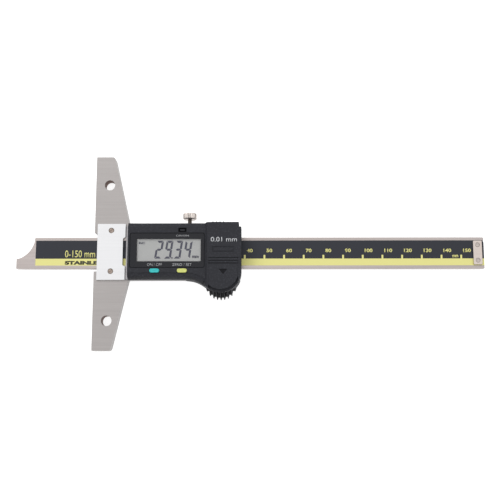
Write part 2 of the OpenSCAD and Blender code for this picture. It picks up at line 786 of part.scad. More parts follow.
// Section along the lower front edge: a bevel, a gentle slope and a fine groove before the face
module lower_section() {
    edge = bevel_w + slope_w;
    bevel_section(bevel_w, bevel_h, face_z - slope_h);
    polygon([[bevel_w - lap, face_z - slope_h], [edge, face_z], [edge, hump_top + cut],
        [bevel_w - lap, hump_top + cut]]);
    translate([edge - crease_w / 2, face_z - crease_d]) square([crease_w, hump_h + crease_d + cut]);
}

// Bevels along the front edges of the display section, the lower one round the flank up to the hump
module front_bevels() {
    translate([housing_x - cut, housing_low, 0]) rotate([90, 0, 90])
        linear_extrude(flank_arc_x - housing_x + cut) lower_section();
    intersection() {
        translate([flank_arc_x, housing_low - flank_r, 0]) intersection() {
            rotate_extrude($fn = 128) translate([flank_r, 0]) lower_section();
            linear_extrude(hump_top + cut) polygon([[0, 0], [0, 2 * flank_r],
                [2 * flank_r * tan(flank_angle), 2 * flank_r]]);
        }
        translate([flank_arc_x, head_low - through, 0]) cube([hump_x - flank_arc_x, 2 * through, through]);
    }
    intersection() {
        translate([flank_start_x, flank_start_y, 0]) rotate([0, 0, -flank_angle]) rotate([90, 0, 90])
            linear_extrude(hump_len) lower_section();
        translate([flank_arc_x, head_low - through, 0]) cube([hump_x - flank_arc_x, 2 * through, through]);
    }
    translate([hump_x, housing_top, 0]) rotate([90, 0, -90])
        linear_extrude(hump_x - housing_x + cut) bevel_section(top_bevel_w, top_bevel_h);
}

// Well for the cell and the open seat for its sliding lid
module battery_room() {
    leaf_room_w = 2.8;
    leaf_room_d = 1.2;
    lid_end_gap = 0.25;
    side = trim_gap / 2;
    rail_room = lid_rail_t + lid_z - lid_floor + side;
    translate([cell_x, cell_y, chassis_top - cut]) cylinder(h = hump_top, d = cell_d + 2 * cell_gap);
    translate([cell_x - cell_d / 2 - leaf_room_d, cell_y - leaf_room_w / 2, chassis_top - cut])
        cube([leaf_room_d + cell_d / 4, leaf_room_w, cell_t]);
    translate([lid_x - side, lid_y - through + lid_end_gap, lid_floor])
        cube([lid_w + 2 * side, through, hump_top]);
    translate([lid_x - lid_rail_w - side, lid_y - through, lid_floor])
        cube([lid_w + 2 * lid_rail_w + 2 * side, through, rail_room]);
}

// Space for the data connector and its opening in the upper wall
module port_room() {
    near_wall = 3;
    far_wall = wall + 1.5;
    room_h = ceiling_z - chassis_top + cut + 0.6;
    translate([hump_x + near_wall, port_room_y, chassis_top - cut])
        cube([hump_len - near_wall - far_wall, housing_top - wall - port_room_y, room_h]);
    translate([port_x, housing_top - wall - cut, port_z]) cube([port_w, wall + 2 * cut, port_h]);
}

module housing_screws() {
    color([0.5, 0.5, 0.5]) at_points(housing_points) from_back() flat_screw(housing_screw_len);
}

module display_bezel() {
    color([0.18, 0.18, 0.20]) difference() {
        translate([bezel_x, bezel_y, pocket_z]) round_plate(bezel_w, bezel_h, bezel_t, bezel_r);
        translate([lcd_x, lcd_y, pocket_z - cut]) cube([lcd_w, lcd_h, bezel_t + 2 * cut]);
    }
}

module lcd_window() {
    sink = 0.1;
    color([0.85, 0.9, 0.9, 0.3]) translate([lcd_x + 0.02, lcd_y + 0.02, pocket_z])
        cube([lcd_w - 0.04, lcd_h - 0.04, bezel_t - sink]);
}

module lcd_glass() {
    color([0.68, 0.69, 0.66]) translate([glass_x, glass_y, glass_z]) cube([glass_w, glass_h, glass_t]);
}

module lcd_holder() {
    seat = 2.2;
    rail = 0.5;
    rim = seat_gap + holder_wall;
    color([0.85, 0.85, 0.82]) difference() {
        translate([glass_x - rim, glass_y - rim, pcb_top])
            cube([glass_w + 2 * rim, glass_h + 2 * rim, ceiling_z - seat_gap - pcb_top]);
        translate([glass_x - seat_gap, glass_y - seat_gap, glass_z])
            cube([glass_w + 2 * seat_gap, glass_h + 2 * seat_gap, housing_h]);
        translate([glass_x + seat, glass_y + rail, pcb_top - cut])
            cube([glass_w - 2 * seat, glass_h - 2 * rail, housing_h]);
    }
}

module zebra_strips() {
    side = 0.55;
    end_gap = 3;
    strip_w = glass_w - 2 * end_gap;
    color([0.35, 0.35, 0.38]) for (y = [glass_y + side, glass_y + glass_h - side - zebra_t])
        translate([glass_x + end_gap, y, pcb_top]) cube([strip_w, zebra_t, glass_z - pcb_top]);
}

module circuit_board() {
    margin = 0.3;
    color([0.10, 0.35, 0.20]) difference() {
        translate([cavity_x + margin, cavity_low + margin, pcb_z])
            cube([cavity_end - cavity_x - 2 * margin, cavity_w - 2 * margin, pcb_t]);
        at_points(housing_points) cylinder(h = through, d = screw_d + 2 * screw_gap);
    }
}

module controller_chip() {
    chip = 9;
    chip_t = 1.0;
    color([0.12, 0.12, 0.13]) translate([lcd_x + lcd_w / 2, head_y, pcb_z - chip_t])
        translate([-chip / 2, -chip / 2, 0]) cube([chip, chip, chip_t]);
}

module detector_board() {
    margin = 0.3;
    color([0.12, 0.32, 0.22])
        translate([frame_x + bridge_len + margin, -ledge_y, detector_z])
            cube([frame_len - bridge_len - end_bridge_len - 2 * margin, 2 * ledge_y, detector_t]);
}

module button_pad() {
    sheet_t = 0.5;
    sheet_w = 3;
    margin = 1.6;
    dome_d = 2.4;
    key_dome_d = 1.6;
    color([0.25, 0.25, 0.25]) {
        translate([on_off_x - button_w / 2 - margin, button_y - sheet_w / 2, pcb_top])
            cube([zero_x - on_off_x + button_w + 2 * margin, sheet_w, sheet_t]);
        for (x = [on_off_x, zero_x]) translate([x, button_y, pcb_top])
            cylinder(h = dome_top - pcb_top, d = dome_d);
        translate([zero_x, origin_y, pcb_top]) {
            translate([-dome_d, -1, 0]) cube([2 * dome_d, 2, sheet_t]);
            cylinder(h = dome_top - pcb_top, d = key_dome_d);
        }
    }
}

// One of the two coloured buttons, at its own origin in X and Y
module round_button() {
    flange_h = 2.6;
    translate([0, 0, flange_z]) pill(button_w + 2 * flange_lap, flange_h, flange_t);
    translate([0, 0, flange_z]) pill(button_w, button_h, face_z + button_proud - flange_z);
}

module on_off_button() {
    color([0.28, 0.82, 0.80]) translate([on_off_x, button_y, 0]) round_button();
}

module zero_button() {
    color([0.87, 0.87, 0.43]) translate([zero_x, button_y, 0]) round_button();
}

module origin_button() {
    key_lap = 0.2;
    sink = 0.6;
    color([0.30, 0.30, 0.32]) translate([zero_x, origin_y, flange_z]) {
        translate([-origin_w / 2 - key_lap, -origin_h / 2 - seat_gap, 0])
            cube([origin_w + 2 * key_lap, origin_h + 2 * seat_gap, flange_t]);
        translate([-origin_key_w / 2, -origin_key_h / 2, 0])
            cube([origin_key_w, origin_key_h, face_z - sink - flange_z]);
    }
}

module battery() {
    rim = 0.5;
    color([0.78, 0.78, 0.79]) translate([cell_x, cell_y, cell_z]) {
        cylinder(h = rim, d = cell_d - 2);
        translate([0, 0, rim]) cylinder(h = cell_t - rim, d = cell_d);
    }
}

module battery_contacts() {
    leaf_w = 2;
    color([0.80, 0.68, 0.40]) {
        translate([cell_x - 4, cell_y - leaf_w / 2, chassis_top]) cube([8, leaf_w, contact_t]);
        translate([cell_x - cell_d / 2 - 0.05 - contact_t, cell_y - leaf_w / 2, chassis_top])
            cube([contact_t, leaf_w, cell_t - 1.2]);
    }
}

// Outline of the battery lid, widened by a rail at each side
module lid_outline(rail) {
    intersection() {
        translate([lid_x - rail, lid_y - through]) square([lid_w + 2 * rail, through]);
        translate([lobe_x, lobe_y]) union() {
            circle(r = lobe_r - lid_rim, $fn = 128);
            translate([-lobe_r, 0]) square([2 * lobe_r, frame_w]);
            translate([-lobe_r, -lobe_r * 0.55]) square([lobe_r, frame_w]);
        }
    }
}

module battery_lid() {
    engrave = 0.3;
    arrow_y = lobe_y + 1.0;
    arrow_x = lid_x + lid_w / 2;
    color([0.24, 0.24, 0.26]) difference() {
        union() {
            translate([0, 0, lid_z]) linear_extrude(hump_top - lid_z) lid_outline(0);
            intersection() {
                translate([0, 0, lid_z]) linear_extrude(lid_rail_t) lid_outline(lid_rail_w);
                translate([lid_x - 2, lobe_y - 3, lid_z]) cube([lid_w + 4, lid_y - lobe_y + 2.5, 5]);
            }
        }
        lid_lines([1, 2], lid_x - cut, lid_w + 2 * cut);
        translate([0, 0, hump_top - engrave]) linear_extrude(1) polygon([
            [arrow_x - arrow_w / 2, arrow_y], [arrow_x + arrow_w / 2, arrow_y],
            [arrow_x, arrow_y - arrow_len]]);
    }
}

module data_connector() {
    pins = 5;
    pin_d = 0.8;
    side = 1;
    body_d = 4;
    body_y = housing_top - wall - 2 - body_d;
    body_h = 3;
    pin_pitch = (port_w - 4 * side) / (pins - 1);
    color([0.15, 0.15, 0.16]) difference() {
        translate([port_x + side, body_y, chassis_top]) cube([port_w - 2 * side, body_d, body_h]);
        for (i = [0:pins - 1])
            translate([port_x + 2 * side + i * pin_pitch, body_y + body_d / 2, chassis_top + body_h / 2])
                rotate([-90, 0, 0]) cylinder(h = body_d, d = pin_d);
    }
}

module data_port_cover() {
    ribs = 4;
    rib_pitch = 1.77;
    rib_h = 0.25;
    rib_r = 0.3;
    slope = 2.4;
    bevel = 0.15;
    height = hump_top - 0.2 - cover_z;
    plug_gap = 0.05;
    color([0.24, 0.24, 0.26]) {
        translate([0, housing_top, cover_z]) {
            linear_extrude(height) polygon([
                [cover_x, lap], [cover_x + 10 * lap, 5 * lap], [cover_x + slope, cover_t],
                [cover_x + cover_w - bevel, cover_t], [cover_x + cover_w, cover_t - bevel],
                [cover_x + cover_w, lap]]);
            for (i = [0:ribs - 1])
                translate([cover_x + slope + rib_pitch * (i + 0.5), cover_t, 0]) intersection() {
                    translate([0, rib_h - rib_r, 0]) cylinder(h = height, r = rib_r, $fn = 24);
                    translate([-rib_r, -lap, 0]) cube([2 * rib_r, rib_h + cut, height]);
                }
        }
        translate([port_x + plug_gap, housing_top - wall - 0.6, port_z + plug_gap])
            cube([port_w - 2 * plug_gap, wall + 0.7, port_h - 2 * plug_gap]);
    }
}

// Holes for the end stop's two screws
module stop_holes() {
    at_points(stop_points) flat_screw_hole(stop_screw_len + seat_gap, stop_screw_head_d, stop_screw_head_h);
}

// Outline of the beam, seen from the front
module beam_outline() {
    arc_x = tip_x - tip_arc_back;
    arc_y = beam_top + tip_arc_rise;
    land_y = beam_low + tip_height;
    difference() {
        translate([tip_x, beam_low]) square([beam_length, beam_width]);
        intersection() {
            translate([arc_x, arc_y]) circle(r = tip_arc_r, $fn = 128);
            translate([tip_x - cut, land_y]) square([beam_length, beam_width]);
        }
        translate([beam_end, beam_top]) rotate(45) square(sqrt(2) * beam_corner, center = true);
    }
}

module beam_bar() {
    color([0.74, 0.72, 0.70]) difference() {
        translate([0, 0, beam_z]) linear_extrude(beam_thick) beam_outline();
        translate([scale_x, scale_low, board_z]) cube([beam_length, scale_h, beam_thick]);
        stop_holes();
    }
}

// Outline of the scale recess, with its far upper corner rounded
module scale_outline() {
    corner = 1.2;
    length = beam_end - scale_x;
    difference() {
        translate([scale_x, scale_low]) square([length, scale_h]);
        translate([beam_end, scale_low + scale_h]) difference() {
            square(2 * corner, center = true);
            translate([-corner, -corner]) circle(r = corner);
        }
    }
}

module scale_board() {
    color([0.45, 0.30, 0.16]) difference() {
        translate([0, 0, board_z]) linear_extrude(scale_board_t) scale_outline();
        stop_holes();
    }
}

// Yellow band with its row of tick marks
module band_outline() {
    translate([scale_x, scale_low]) square([beam_end - scale_x, band_h]);
    for (x = tick_x) translate([x - tick_w / 2, scale_low + band_h - lap])
        square([tick_w, tick_h + lap]);
}

module scale_foil() {
    color([0.17, 0.18, 0.20]) difference() {
        translate([0, 0, foil_top - foil_t]) linear_extrude(foil_t) scale_outline();
        translate([0, 0, foil_top - print_t]) linear_extrude(1) band_outline();
        stop_holes();
    }
}

module scale_band() {
    color([0.90, 0.88, 0.48]) difference() {
        translate([0, 0, foil_top - print_t]) linear_extrude(print_t) band_outline();
        stop_holes();
    }
}

module end_stop() {
    corner = 0.5;
    color([0.80, 0.75, 0.72]) difference() {
        translate([stop_x, beam_y - stop_w / 2, foil_top]) round_plate(stop_len, stop_w, stop_t, corner);
        stop_holes();
    }
}

module end_stop_screws() {
    color([0.70, 0.66, 0.63]) at_points(stop_points)
        flat_screw(stop_screw_len, stop_screw_head_d, stop_screw_head_h);
}

base_block();
base_plate();
base_plate_screws();
base_joint_screws();
slider_frame();
gib_strip();
gib_set_screws();
rear_plate();
rear_plate_screws();
clamp_pad();
clamp_screw();
lower_housing();
front_housing();
housing_screws();
display_bezel();
lcd_window();
lcd_glass();
lcd_holder();
zebra_strips();
circuit_board();
controller_chip();
detector_board();
button_pad();
on_off_button();
zero_button();
origin_button();
battery();
battery_contacts();
battery_lid();
data_connector();
data_port_cover();
beam_bar();
scale_board();
scale_foil();
scale_band();
end_stop();
end_stop_screws();
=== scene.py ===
"""Looks of a digital depth gauge, laid out as a Blender add-on and run as a script.

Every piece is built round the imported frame, so places and lengths come from its nodes wherever they can.
Lengths are in metres. The gauge lies on its back, with X along its beam and Z up towards its display.
"""

import math

import bmesh
import bpy
from mathutils import Matrix, Vector


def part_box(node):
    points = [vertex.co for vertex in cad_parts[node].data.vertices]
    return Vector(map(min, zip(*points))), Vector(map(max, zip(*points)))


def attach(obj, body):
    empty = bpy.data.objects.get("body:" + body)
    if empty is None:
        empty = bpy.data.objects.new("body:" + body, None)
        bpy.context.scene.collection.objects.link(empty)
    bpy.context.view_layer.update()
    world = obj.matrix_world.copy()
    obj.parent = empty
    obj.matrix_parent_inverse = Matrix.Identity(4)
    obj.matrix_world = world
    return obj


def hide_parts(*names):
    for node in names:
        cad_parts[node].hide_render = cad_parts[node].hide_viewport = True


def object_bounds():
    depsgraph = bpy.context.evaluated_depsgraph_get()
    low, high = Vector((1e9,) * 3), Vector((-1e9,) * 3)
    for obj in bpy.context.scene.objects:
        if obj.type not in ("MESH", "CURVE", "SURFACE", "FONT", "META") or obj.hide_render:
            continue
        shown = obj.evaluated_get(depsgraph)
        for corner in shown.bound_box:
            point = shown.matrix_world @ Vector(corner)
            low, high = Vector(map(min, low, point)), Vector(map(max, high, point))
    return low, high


bl_info = {
    "name": "Digital Depth Gauge",
    "version": (1, 0, 0),
    "blender": (4, 5, 0),
    "location": "3D View > Sidebar > Depth Gauge",
    "description": "Finishes, lettering and small hardware of an electronic depth gauge",
    "category": "Object",
}

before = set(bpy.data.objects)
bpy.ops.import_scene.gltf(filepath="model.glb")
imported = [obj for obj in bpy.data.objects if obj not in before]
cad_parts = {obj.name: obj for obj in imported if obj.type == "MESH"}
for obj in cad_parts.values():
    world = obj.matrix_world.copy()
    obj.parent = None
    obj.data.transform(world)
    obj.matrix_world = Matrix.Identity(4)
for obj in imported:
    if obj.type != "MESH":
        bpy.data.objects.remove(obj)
cad_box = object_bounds()

MM = 0.001
# Points closer together than this are one
MERGE = 1e-6
# Angles below which faces are joined and shaded smooth, and above which an edge is broken
FLAT_ANGLE = math.radians(0.6)
SMOOTH_ANGLE = math.radians(32)
EDGE_ANGLE = math.radians(30)
# Pull of large faces on the normals round them, from 1 to 100
FACE_WEIGHT = 90
# Share of a normal along Z below which a face counts as a wall
WALL = 0.5
# Height of print above the foil, the moulded plastic and the display's glass
ON_FOIL = 0.002 * MM
ON_PLASTIC = 0.001 * MM
ON_GLASS = 0.004 * MM
# Share of its width that lies left of the place given for a word
ALIGNED = {"LEFT": 0.0, "CENTER": 0.5, "RIGHT": 1.0}


class SteelSettings(bpy.types.PropertyGroup):
    """Colours and edges of the steel pieces."""
    base_colour: bpy.props.FloatVectorProperty(
        name="Base", description="Colour of the ground cross base", subtype="COLOR",
        default=(0.342, 0.322, 0.315), min=0, max=1)
    plate_colour: bpy.props.FloatVectorProperty(
        name="Cover plate", description="Colour of the bright plate on the base", subtype="COLOR",
        default=(0.61, 0.61, 0.62), min=0, max=1)
    stop_colour: bpy.props.FloatVectorProperty(
        name="Stop plate", description="Colour of the polished plate on the beam's end", subtype="COLOR",
        default=(0.50, 0.44, 0.405), min=0, max=1)
    beam_colour: bpy.props.FloatVectorProperty(
        name="Beam", description="Colour of the beam's two steel rails", subtype="COLOR",
        default=(0.43, 0.385, 0.37), min=0, max=1)
    frame_colour: bpy.props.FloatVectorProperty(
        name="Slider frame", description="Colour of the channel under the housing", subtype="COLOR",
        default=(0.33, 0.32, 0.33), min=0, max=1)
    edge: bpy.props.FloatProperty(
        name="Edge", description="Width of the broken edges", unit="LENGTH",
        default=0.1 * MM, min=0.0, max=0.5 * MM)
    fine_edge: bpy.props.FloatProperty(
        name="Fine edge", description="Width of the edges of thin rails and plates", unit="LENGTH",
        default=0.05 * MM, min=0.0, max=0.3 * MM)
    line_density: bpy.props.FloatProperty(
        name="Line density", description="Brushing lines for each metre across the grain",
        default=3200, min=500, max=9000)


class PlasticSettings(bpy.types.PropertyGroup):
    """Colours and grain of the moulded pieces."""
    housing_colour: bpy.props.FloatVectorProperty(
        name="Housing", description="Colour of the charcoal housing", subtype="COLOR",
        default=(0.030, 0.0308, 0.0362), min=0, max=1)
    bezel_colour: bpy.props.FloatVectorProperty(
        name="Bezel", description="Colour of the frame round the display", subtype="COLOR",
        default=(0.014, 0.0145, 0.018), min=0, max=1)
    edge: bpy.props.FloatProperty(
        name="Edge", description="Width of the softened edges", unit="LENGTH",
        default=0.22 * MM, min=0.0, max=0.5 * MM)
    grain_density: bpy.props.FloatProperty(
        name="Grain density", description="Grains of the moulded texture for each metre",
        default=1500, min=500, max=9000)
    grain_depth: bpy.props.FloatProperty(
        name="Grain depth", description="Height of the moulded texture", unit="LENGTH",
        default=0.03 * MM, min=0.0, max=0.1 * MM)
    shine: bpy.props.FloatProperty(
        name="Shine", description="Strength of the reflection on moulded plastic", subtype="FACTOR",
        default=0.08, min=0.0, max=1.0)


class ScaleSettings(bpy.types.PropertyGroup):
    """Print on the beam."""
    foil_colour: bpy.props.FloatVectorProperty(
        name="Foil", description="Colour of the black foil", subtype="COLOR",
        default=(0.0222, 0.0242, 0.0325), min=0, max=1)
    print_colour: bpy.props.FloatVectorProperty(
        name="Print", description="Yellow of the band, the marks and the numbers", subtype="COLOR",
        default=(0.723, 0.688, 0.243), min=0, max=1)
    word_colour: bpy.props.FloatVectorProperty(
        name="Word", description="Dark colour of the word in the yellow band", subtype="COLOR",
        default=(0.05, 0.05, 0.03), min=0, max=1)
    number_height: bpy.props.FloatProperty(
        name="Number height", description="Height of the scale's numbers", unit="LENGTH",
        default=1.9 * MM, min=1 * MM, max=3 * MM)
    first_mark: bpy.props.FloatProperty(
        name="Nought", description="Distance from the beam's tip to the mark for nought", unit="LENGTH",
        default=76.4 * MM, min=60 * MM, max=90 * MM)
    mark_step: bpy.props.IntProperty(
        name="Step", description="Millimetres between the numbered marks", default=10, min=5, max=50)
    last_number: bpy.props.IntProperty(
        name="Last number", description="Largest number on the scale", default=150, min=50, max=300)


class DisplaySettings(bpy.types.PropertyGroup):
    """The liquid crystal display."""
    reading: bpy.props.StringProperty(
        name="Reading", description="Digits shown, with one point", default="29.34")
    glass_colour: bpy.props.FloatVectorProperty(
        name="Glass", description="Colour of the display behind its window", subtype="COLOR",
        default=(0.41, 0.412, 0.408), min=0, max=1)
    segment_colour: bpy.props.FloatVectorProperty(
        name="Segments", description="Colour of the segments that are on", subtype="COLOR",
        default=(0.03, 0.03, 0.06), min=0, max=1)
    digit_height: bpy.props.FloatProperty(
        name="Digit height", description="Height of a digit", unit="LENGTH",
        default=9.1 * MM, min=4 * MM, max=11 * MM)
    digit_width: bpy.props.FloatProperty(
        name="Digit width", description="Width of a digit", unit="LENGTH",
        default=3.55 * MM, min=2 * MM, max=6 * MM)
    digit_pitch: bpy.props.FloatProperty(
        name="Digit pitch", description="Distance from one digit to the next", unit="LENGTH",
        default=4.81 * MM, min=3 * MM, max=7 * MM)
    slant: bpy.props.FloatProperty(
        name="Slant", description="Lean of the digits to the right", subtype="ANGLE", unit="ROTATION",
        default=math.radians(8.5), min=0, max=math.radians(20))


class KeySettings(bpy.types.PropertyGroup):
    """The coloured keys and the legends beside them."""
    teal_colour: bpy.props.FloatVectorProperty(
        name="On and off", description="Colour of the on and off key", subtype="COLOR",
        default=(0.047, 0.496, 0.50), min=0, max=1)
    yellow_colour: bpy.props.FloatVectorProperty(
        name="Zero", description="Colour of the zero key", subtype="COLOR",
        default=(0.615, 0.647, 0.195), min=0, max=1)
    legend_colour: bpy.props.FloatVectorProperty(
        name="Legends", description="Colour of the printed words", subtype="COLOR",
        default=(0.55, 0.56, 0.58), min=0, max=1)
    crown: bpy.props.FloatProperty(
        name="Crown", description="Width and height of the rounding round a key's top", unit="LENGTH",
        default=0.45 * MM, min=0.1 * MM, max=0.8 * MM)
    dimple: bpy.props.FloatProperty(
        name="Dimple", description="Depth of the two finger dimples", unit="LENGTH",
        default=0.28 * MM, min=0.0, max=0.3 * MM)


class HardwareSettings(bpy.types.PropertyGroup):
    """Screws and the knurled clamp screw."""
    slot_width: bpy.props.FloatProperty(
        name="Slot", description="Width of a screw's driver slot", unit="LENGTH",
        default=0.36 * MM, min=0.2 * MM, max=0.6 * MM)
    head_share: bpy.props.FloatProperty(
        name="Head rounding", description="Width of a screw's top as a share of its head",
        default=0.84, min=0.5, max=1.0)
    ridges: bpy.props.IntProperty(
        name="Ridges", description="Ridges round the clamp screw's head", default=26, min=12, max=60)
    ridge_depth: bpy.props.FloatProperty(
        name="Ridge depth", description="Depth of the grooves between them", unit="LENGTH",
        default=0.2 * MM, min=0.05 * MM, max=0.5 * MM)
    dish: bpy.props.FloatProperty(
        name="Dish", description="Depth of the turned dish in the clamp screw's face", unit="LENGTH",
        default=0.35 * MM, min=0.0, max=1 * MM)


class StageSettings(bpy.types.PropertyGroup):
    """Floor, light and camera."""
    floor_colour: bpy.props.FloatVectorProperty(
        name="Floor", description="Colour of the plain floor", subtype="COLOR",
        default=(0.60, 0.60, 0.60), min=0, max=1)
    floor_glow: bpy.props.FloatProperty(
        name="Floor glow", description="Brightness of the floor to the camera and in reflections",
        default=0.8, min=0, max=2)
    sky: bpy.props.FloatProperty(
        name="Sky", description="Strength of the even light from all round", default=0.45, min=0, max=3)
    softbox: bpy.props.FloatProperty(
        name="Softbox", description="Power of the large light overhead in watts", default=18.0,
        min=0, max=80)
    side_light: bpy.props.FloatProperty(
        name="Side light", description="Power of the light from the upper left in watts", default=5.0,
        min=0, max=50)
    focal_length: bpy.props.FloatProperty(
        name="Focal length", description="Camera's focal length in millimetres on a 36 mm sensor",
        default=60.57, min=20, max=200)
    camera_place: bpy.props.FloatVectorProperty(
        name="Camera", description="Place of the camera", subtype="TRANSLATION", unit="LENGTH",
        default=(75.66 * MM, -69.22 * MM, 428.89 * MM))
    camera_lean: bpy.props.FloatVectorProperty(
        name="Camera lean", description="Lean of the camera about X, Y and Z away from straight down",
        subtype="EULER", unit="ROTATION",
        default=(math.radians(9.431), math.radians(0.440), math.radians(-0.054)))


SETTINGS = {
    "gauge_steel": SteelSettings,
    "gauge_plastic": PlasticSettings,
    "gauge_scale": ScaleSettings,
    "gauge_display": DisplaySettings,
    "gauge_keys": KeySettings,
    "gauge_hardware": HardwareSettings,
    "gauge_stage": StageSettings,
}


def add(tree, kind, inputs=None, **settings):
    """Adds a node to a tree, sets it up, and fills its inputs with values or links."""
    node = tree.nodes.new(kind)
    for name, value in settings.items():
        setattr(node, name, value)
    for key, value in (inputs or {}).items():
        if isinstance(value, bpy.types.NodeSocket):
            tree.links.new(value, node.inputs[key])
        else:
            node.inputs[key].default_value = value
    return node


def new_group(name, kind, inputs, outputs):
    """Starts a node group with named sockets and returns it with its input and output nodes."""
    group = bpy.data.node_groups.new(name, kind)
    for label, socket in outputs.items():
        group.interface.new_socket(name=label, in_out="OUTPUT", socket_type=socket)
    for label, (socket, default) in inputs.items():
        made = group.interface.new_socket(name=label, in_out="INPUT", socket_type=socket)
        if default is not None:
            made.default_value = default
    return group, group.nodes.new("NodeGroupInput").outputs, group.nodes.new("NodeGroupOutput").inputs


def pattern_group(name, inputs):
    """Starts a shader group that reads a place and a density and gives a mask and a height."""
    sockets = {"Vector": ("NodeSocketVector", None), "Density": ("NodeSocketFloat", 1000.0)}
    sockets.update(inputs)
    outputs = {"Mask": "NodeSocketFloat", "Height": "NodeSocketFloat"}
    return new_group(name, "ShaderNodeTree", sockets, outputs)


def spread(tree, value, low, high):
    """Stretches a noise value from between low and high to the whole of 0 to 1."""
    made = add(tree, "ShaderNodeMapRange", {"Value": value, "From Min": low, "From Max": high})
    return made.outputs["Result"]


def brushed_lines():
    """Long fine lines along X, as ground and brushed steel has."""
    group, given, out = pattern_group("Brushed Lines", {"Length": ("NodeSocketFloat", 0.02)})
    along = add(group, "ShaderNodeMath", {0: given["Density"], 1: given["Length"]}, operation="MULTIPLY")
    scale = add(group, "ShaderNodeCombineXYZ", {
        "X": along.outputs[0], "Y": given["Density"], "Z": given["Density"]})
    place = add(group, "ShaderNodeVectorMath", {0: given["Vector"], 1: scale.outputs[0]},
                operation="MULTIPLY")
    fine = add(group, "ShaderNodeTexNoise", {
        "Vector": place.outputs[0], "Scale": 1.0, "Detail": 3.0, "Roughness": 0.65})
    broad = add(group, "ShaderNodeTexNoise", {
        "Vector": place.outputs[0], "Scale": 0.4, "Detail": 1.0, "Roughness": 0.5})
    both = add(group, "ShaderNodeMath", {0: fine.outputs[0], 1: broad.outputs[0]}, operation="ADD")
    group.links.new(spread(group, both.outputs[0], 0.7, 1.3), out["Mask"])
    group.links.new(fine.outputs[0], out["Height"])
    return group


def moulded_grain():
    """Fine pebbled texture of a spark eroded mould, with brighter tips."""
    group, given, out = pattern_group("Moulded Grain", {"Speckle": ("NodeSocketFloat", 0.5)})
    grain = add(group, "ShaderNodeTexNoise", {
        "Vector": given["Vector"], "Scale": given["Density"], "Detail": 2.0, "Roughness": 0.55})
    cells = add(group, "ShaderNodeTexVoronoi", {"Vector": given["Vector"], "Scale": given["Density"]})
    tips = spread(group, grain.outputs[0], 0.52, 0.72)
    mask = add(group, "ShaderNodeMath", {0: tips, 1: given["Speckle"]}, operation="MULTIPLY")
    mixed = add(group, "ShaderNodeMath", {0: grain.outputs[0], 1: cells.outputs["Distance"]},
                operation="SUBTRACT")
    group.links.new(mask.outputs[0], out["Mask"])
    group.links.new(mixed.outputs[0], out["Height"])
    return group


def handling_marks():
    """Soft blotches and a few fine scratches, left by fingers and use."""
    group, given, out = pattern_group("Handling Marks", {"Scratches": ("NodeSocketFloat", 0.3)})
    blotch = add(group, "ShaderNodeTexNoise", {
        "Vector": given["Vector"], "Scale": given["Density"], "Detail": 4.0, "Distortion": 0.6})
    scratch_turn, along, across = 0.7, 40.0, 1800.0
    turned = add(group, "ShaderNodeMapping", {
        "Vector": given["Vector"], "Rotation": (0.0, 0.0, scratch_turn), "Scale": (along, across, across)})
    scratch = add(group, "ShaderNodeTexNoise", {
        "Vector": turned.outputs[0], "Scale": 1.0, "Detail": 1.0})
    thin = spread(group, scratch.outputs[0], 0.70, 0.78)
    faint = add(group, "ShaderNodeMath", {0: thin, 1: given["Scratches"]}, operation="MULTIPLY")
    both = add(group, "ShaderNodeMath", {
        0: spread(group, blotch.outputs[0], 0.35, 0.65), 1: faint.outputs[0]}, operation="ADD",
        use_clamp=True)
    group.links.new(both.outputs[0], out["Mask"])
    group.links.new(blotch.outputs[0], out["Height"])
    return group


PATTERNS = {}


def patterns():
    """Builds the shared shader groups once and returns them by name."""
    if not PATTERNS:
        PATTERNS.update(lines=brushed_lines(), grain=moulded_grain(), marks=handling_marks())
    return PATTERNS


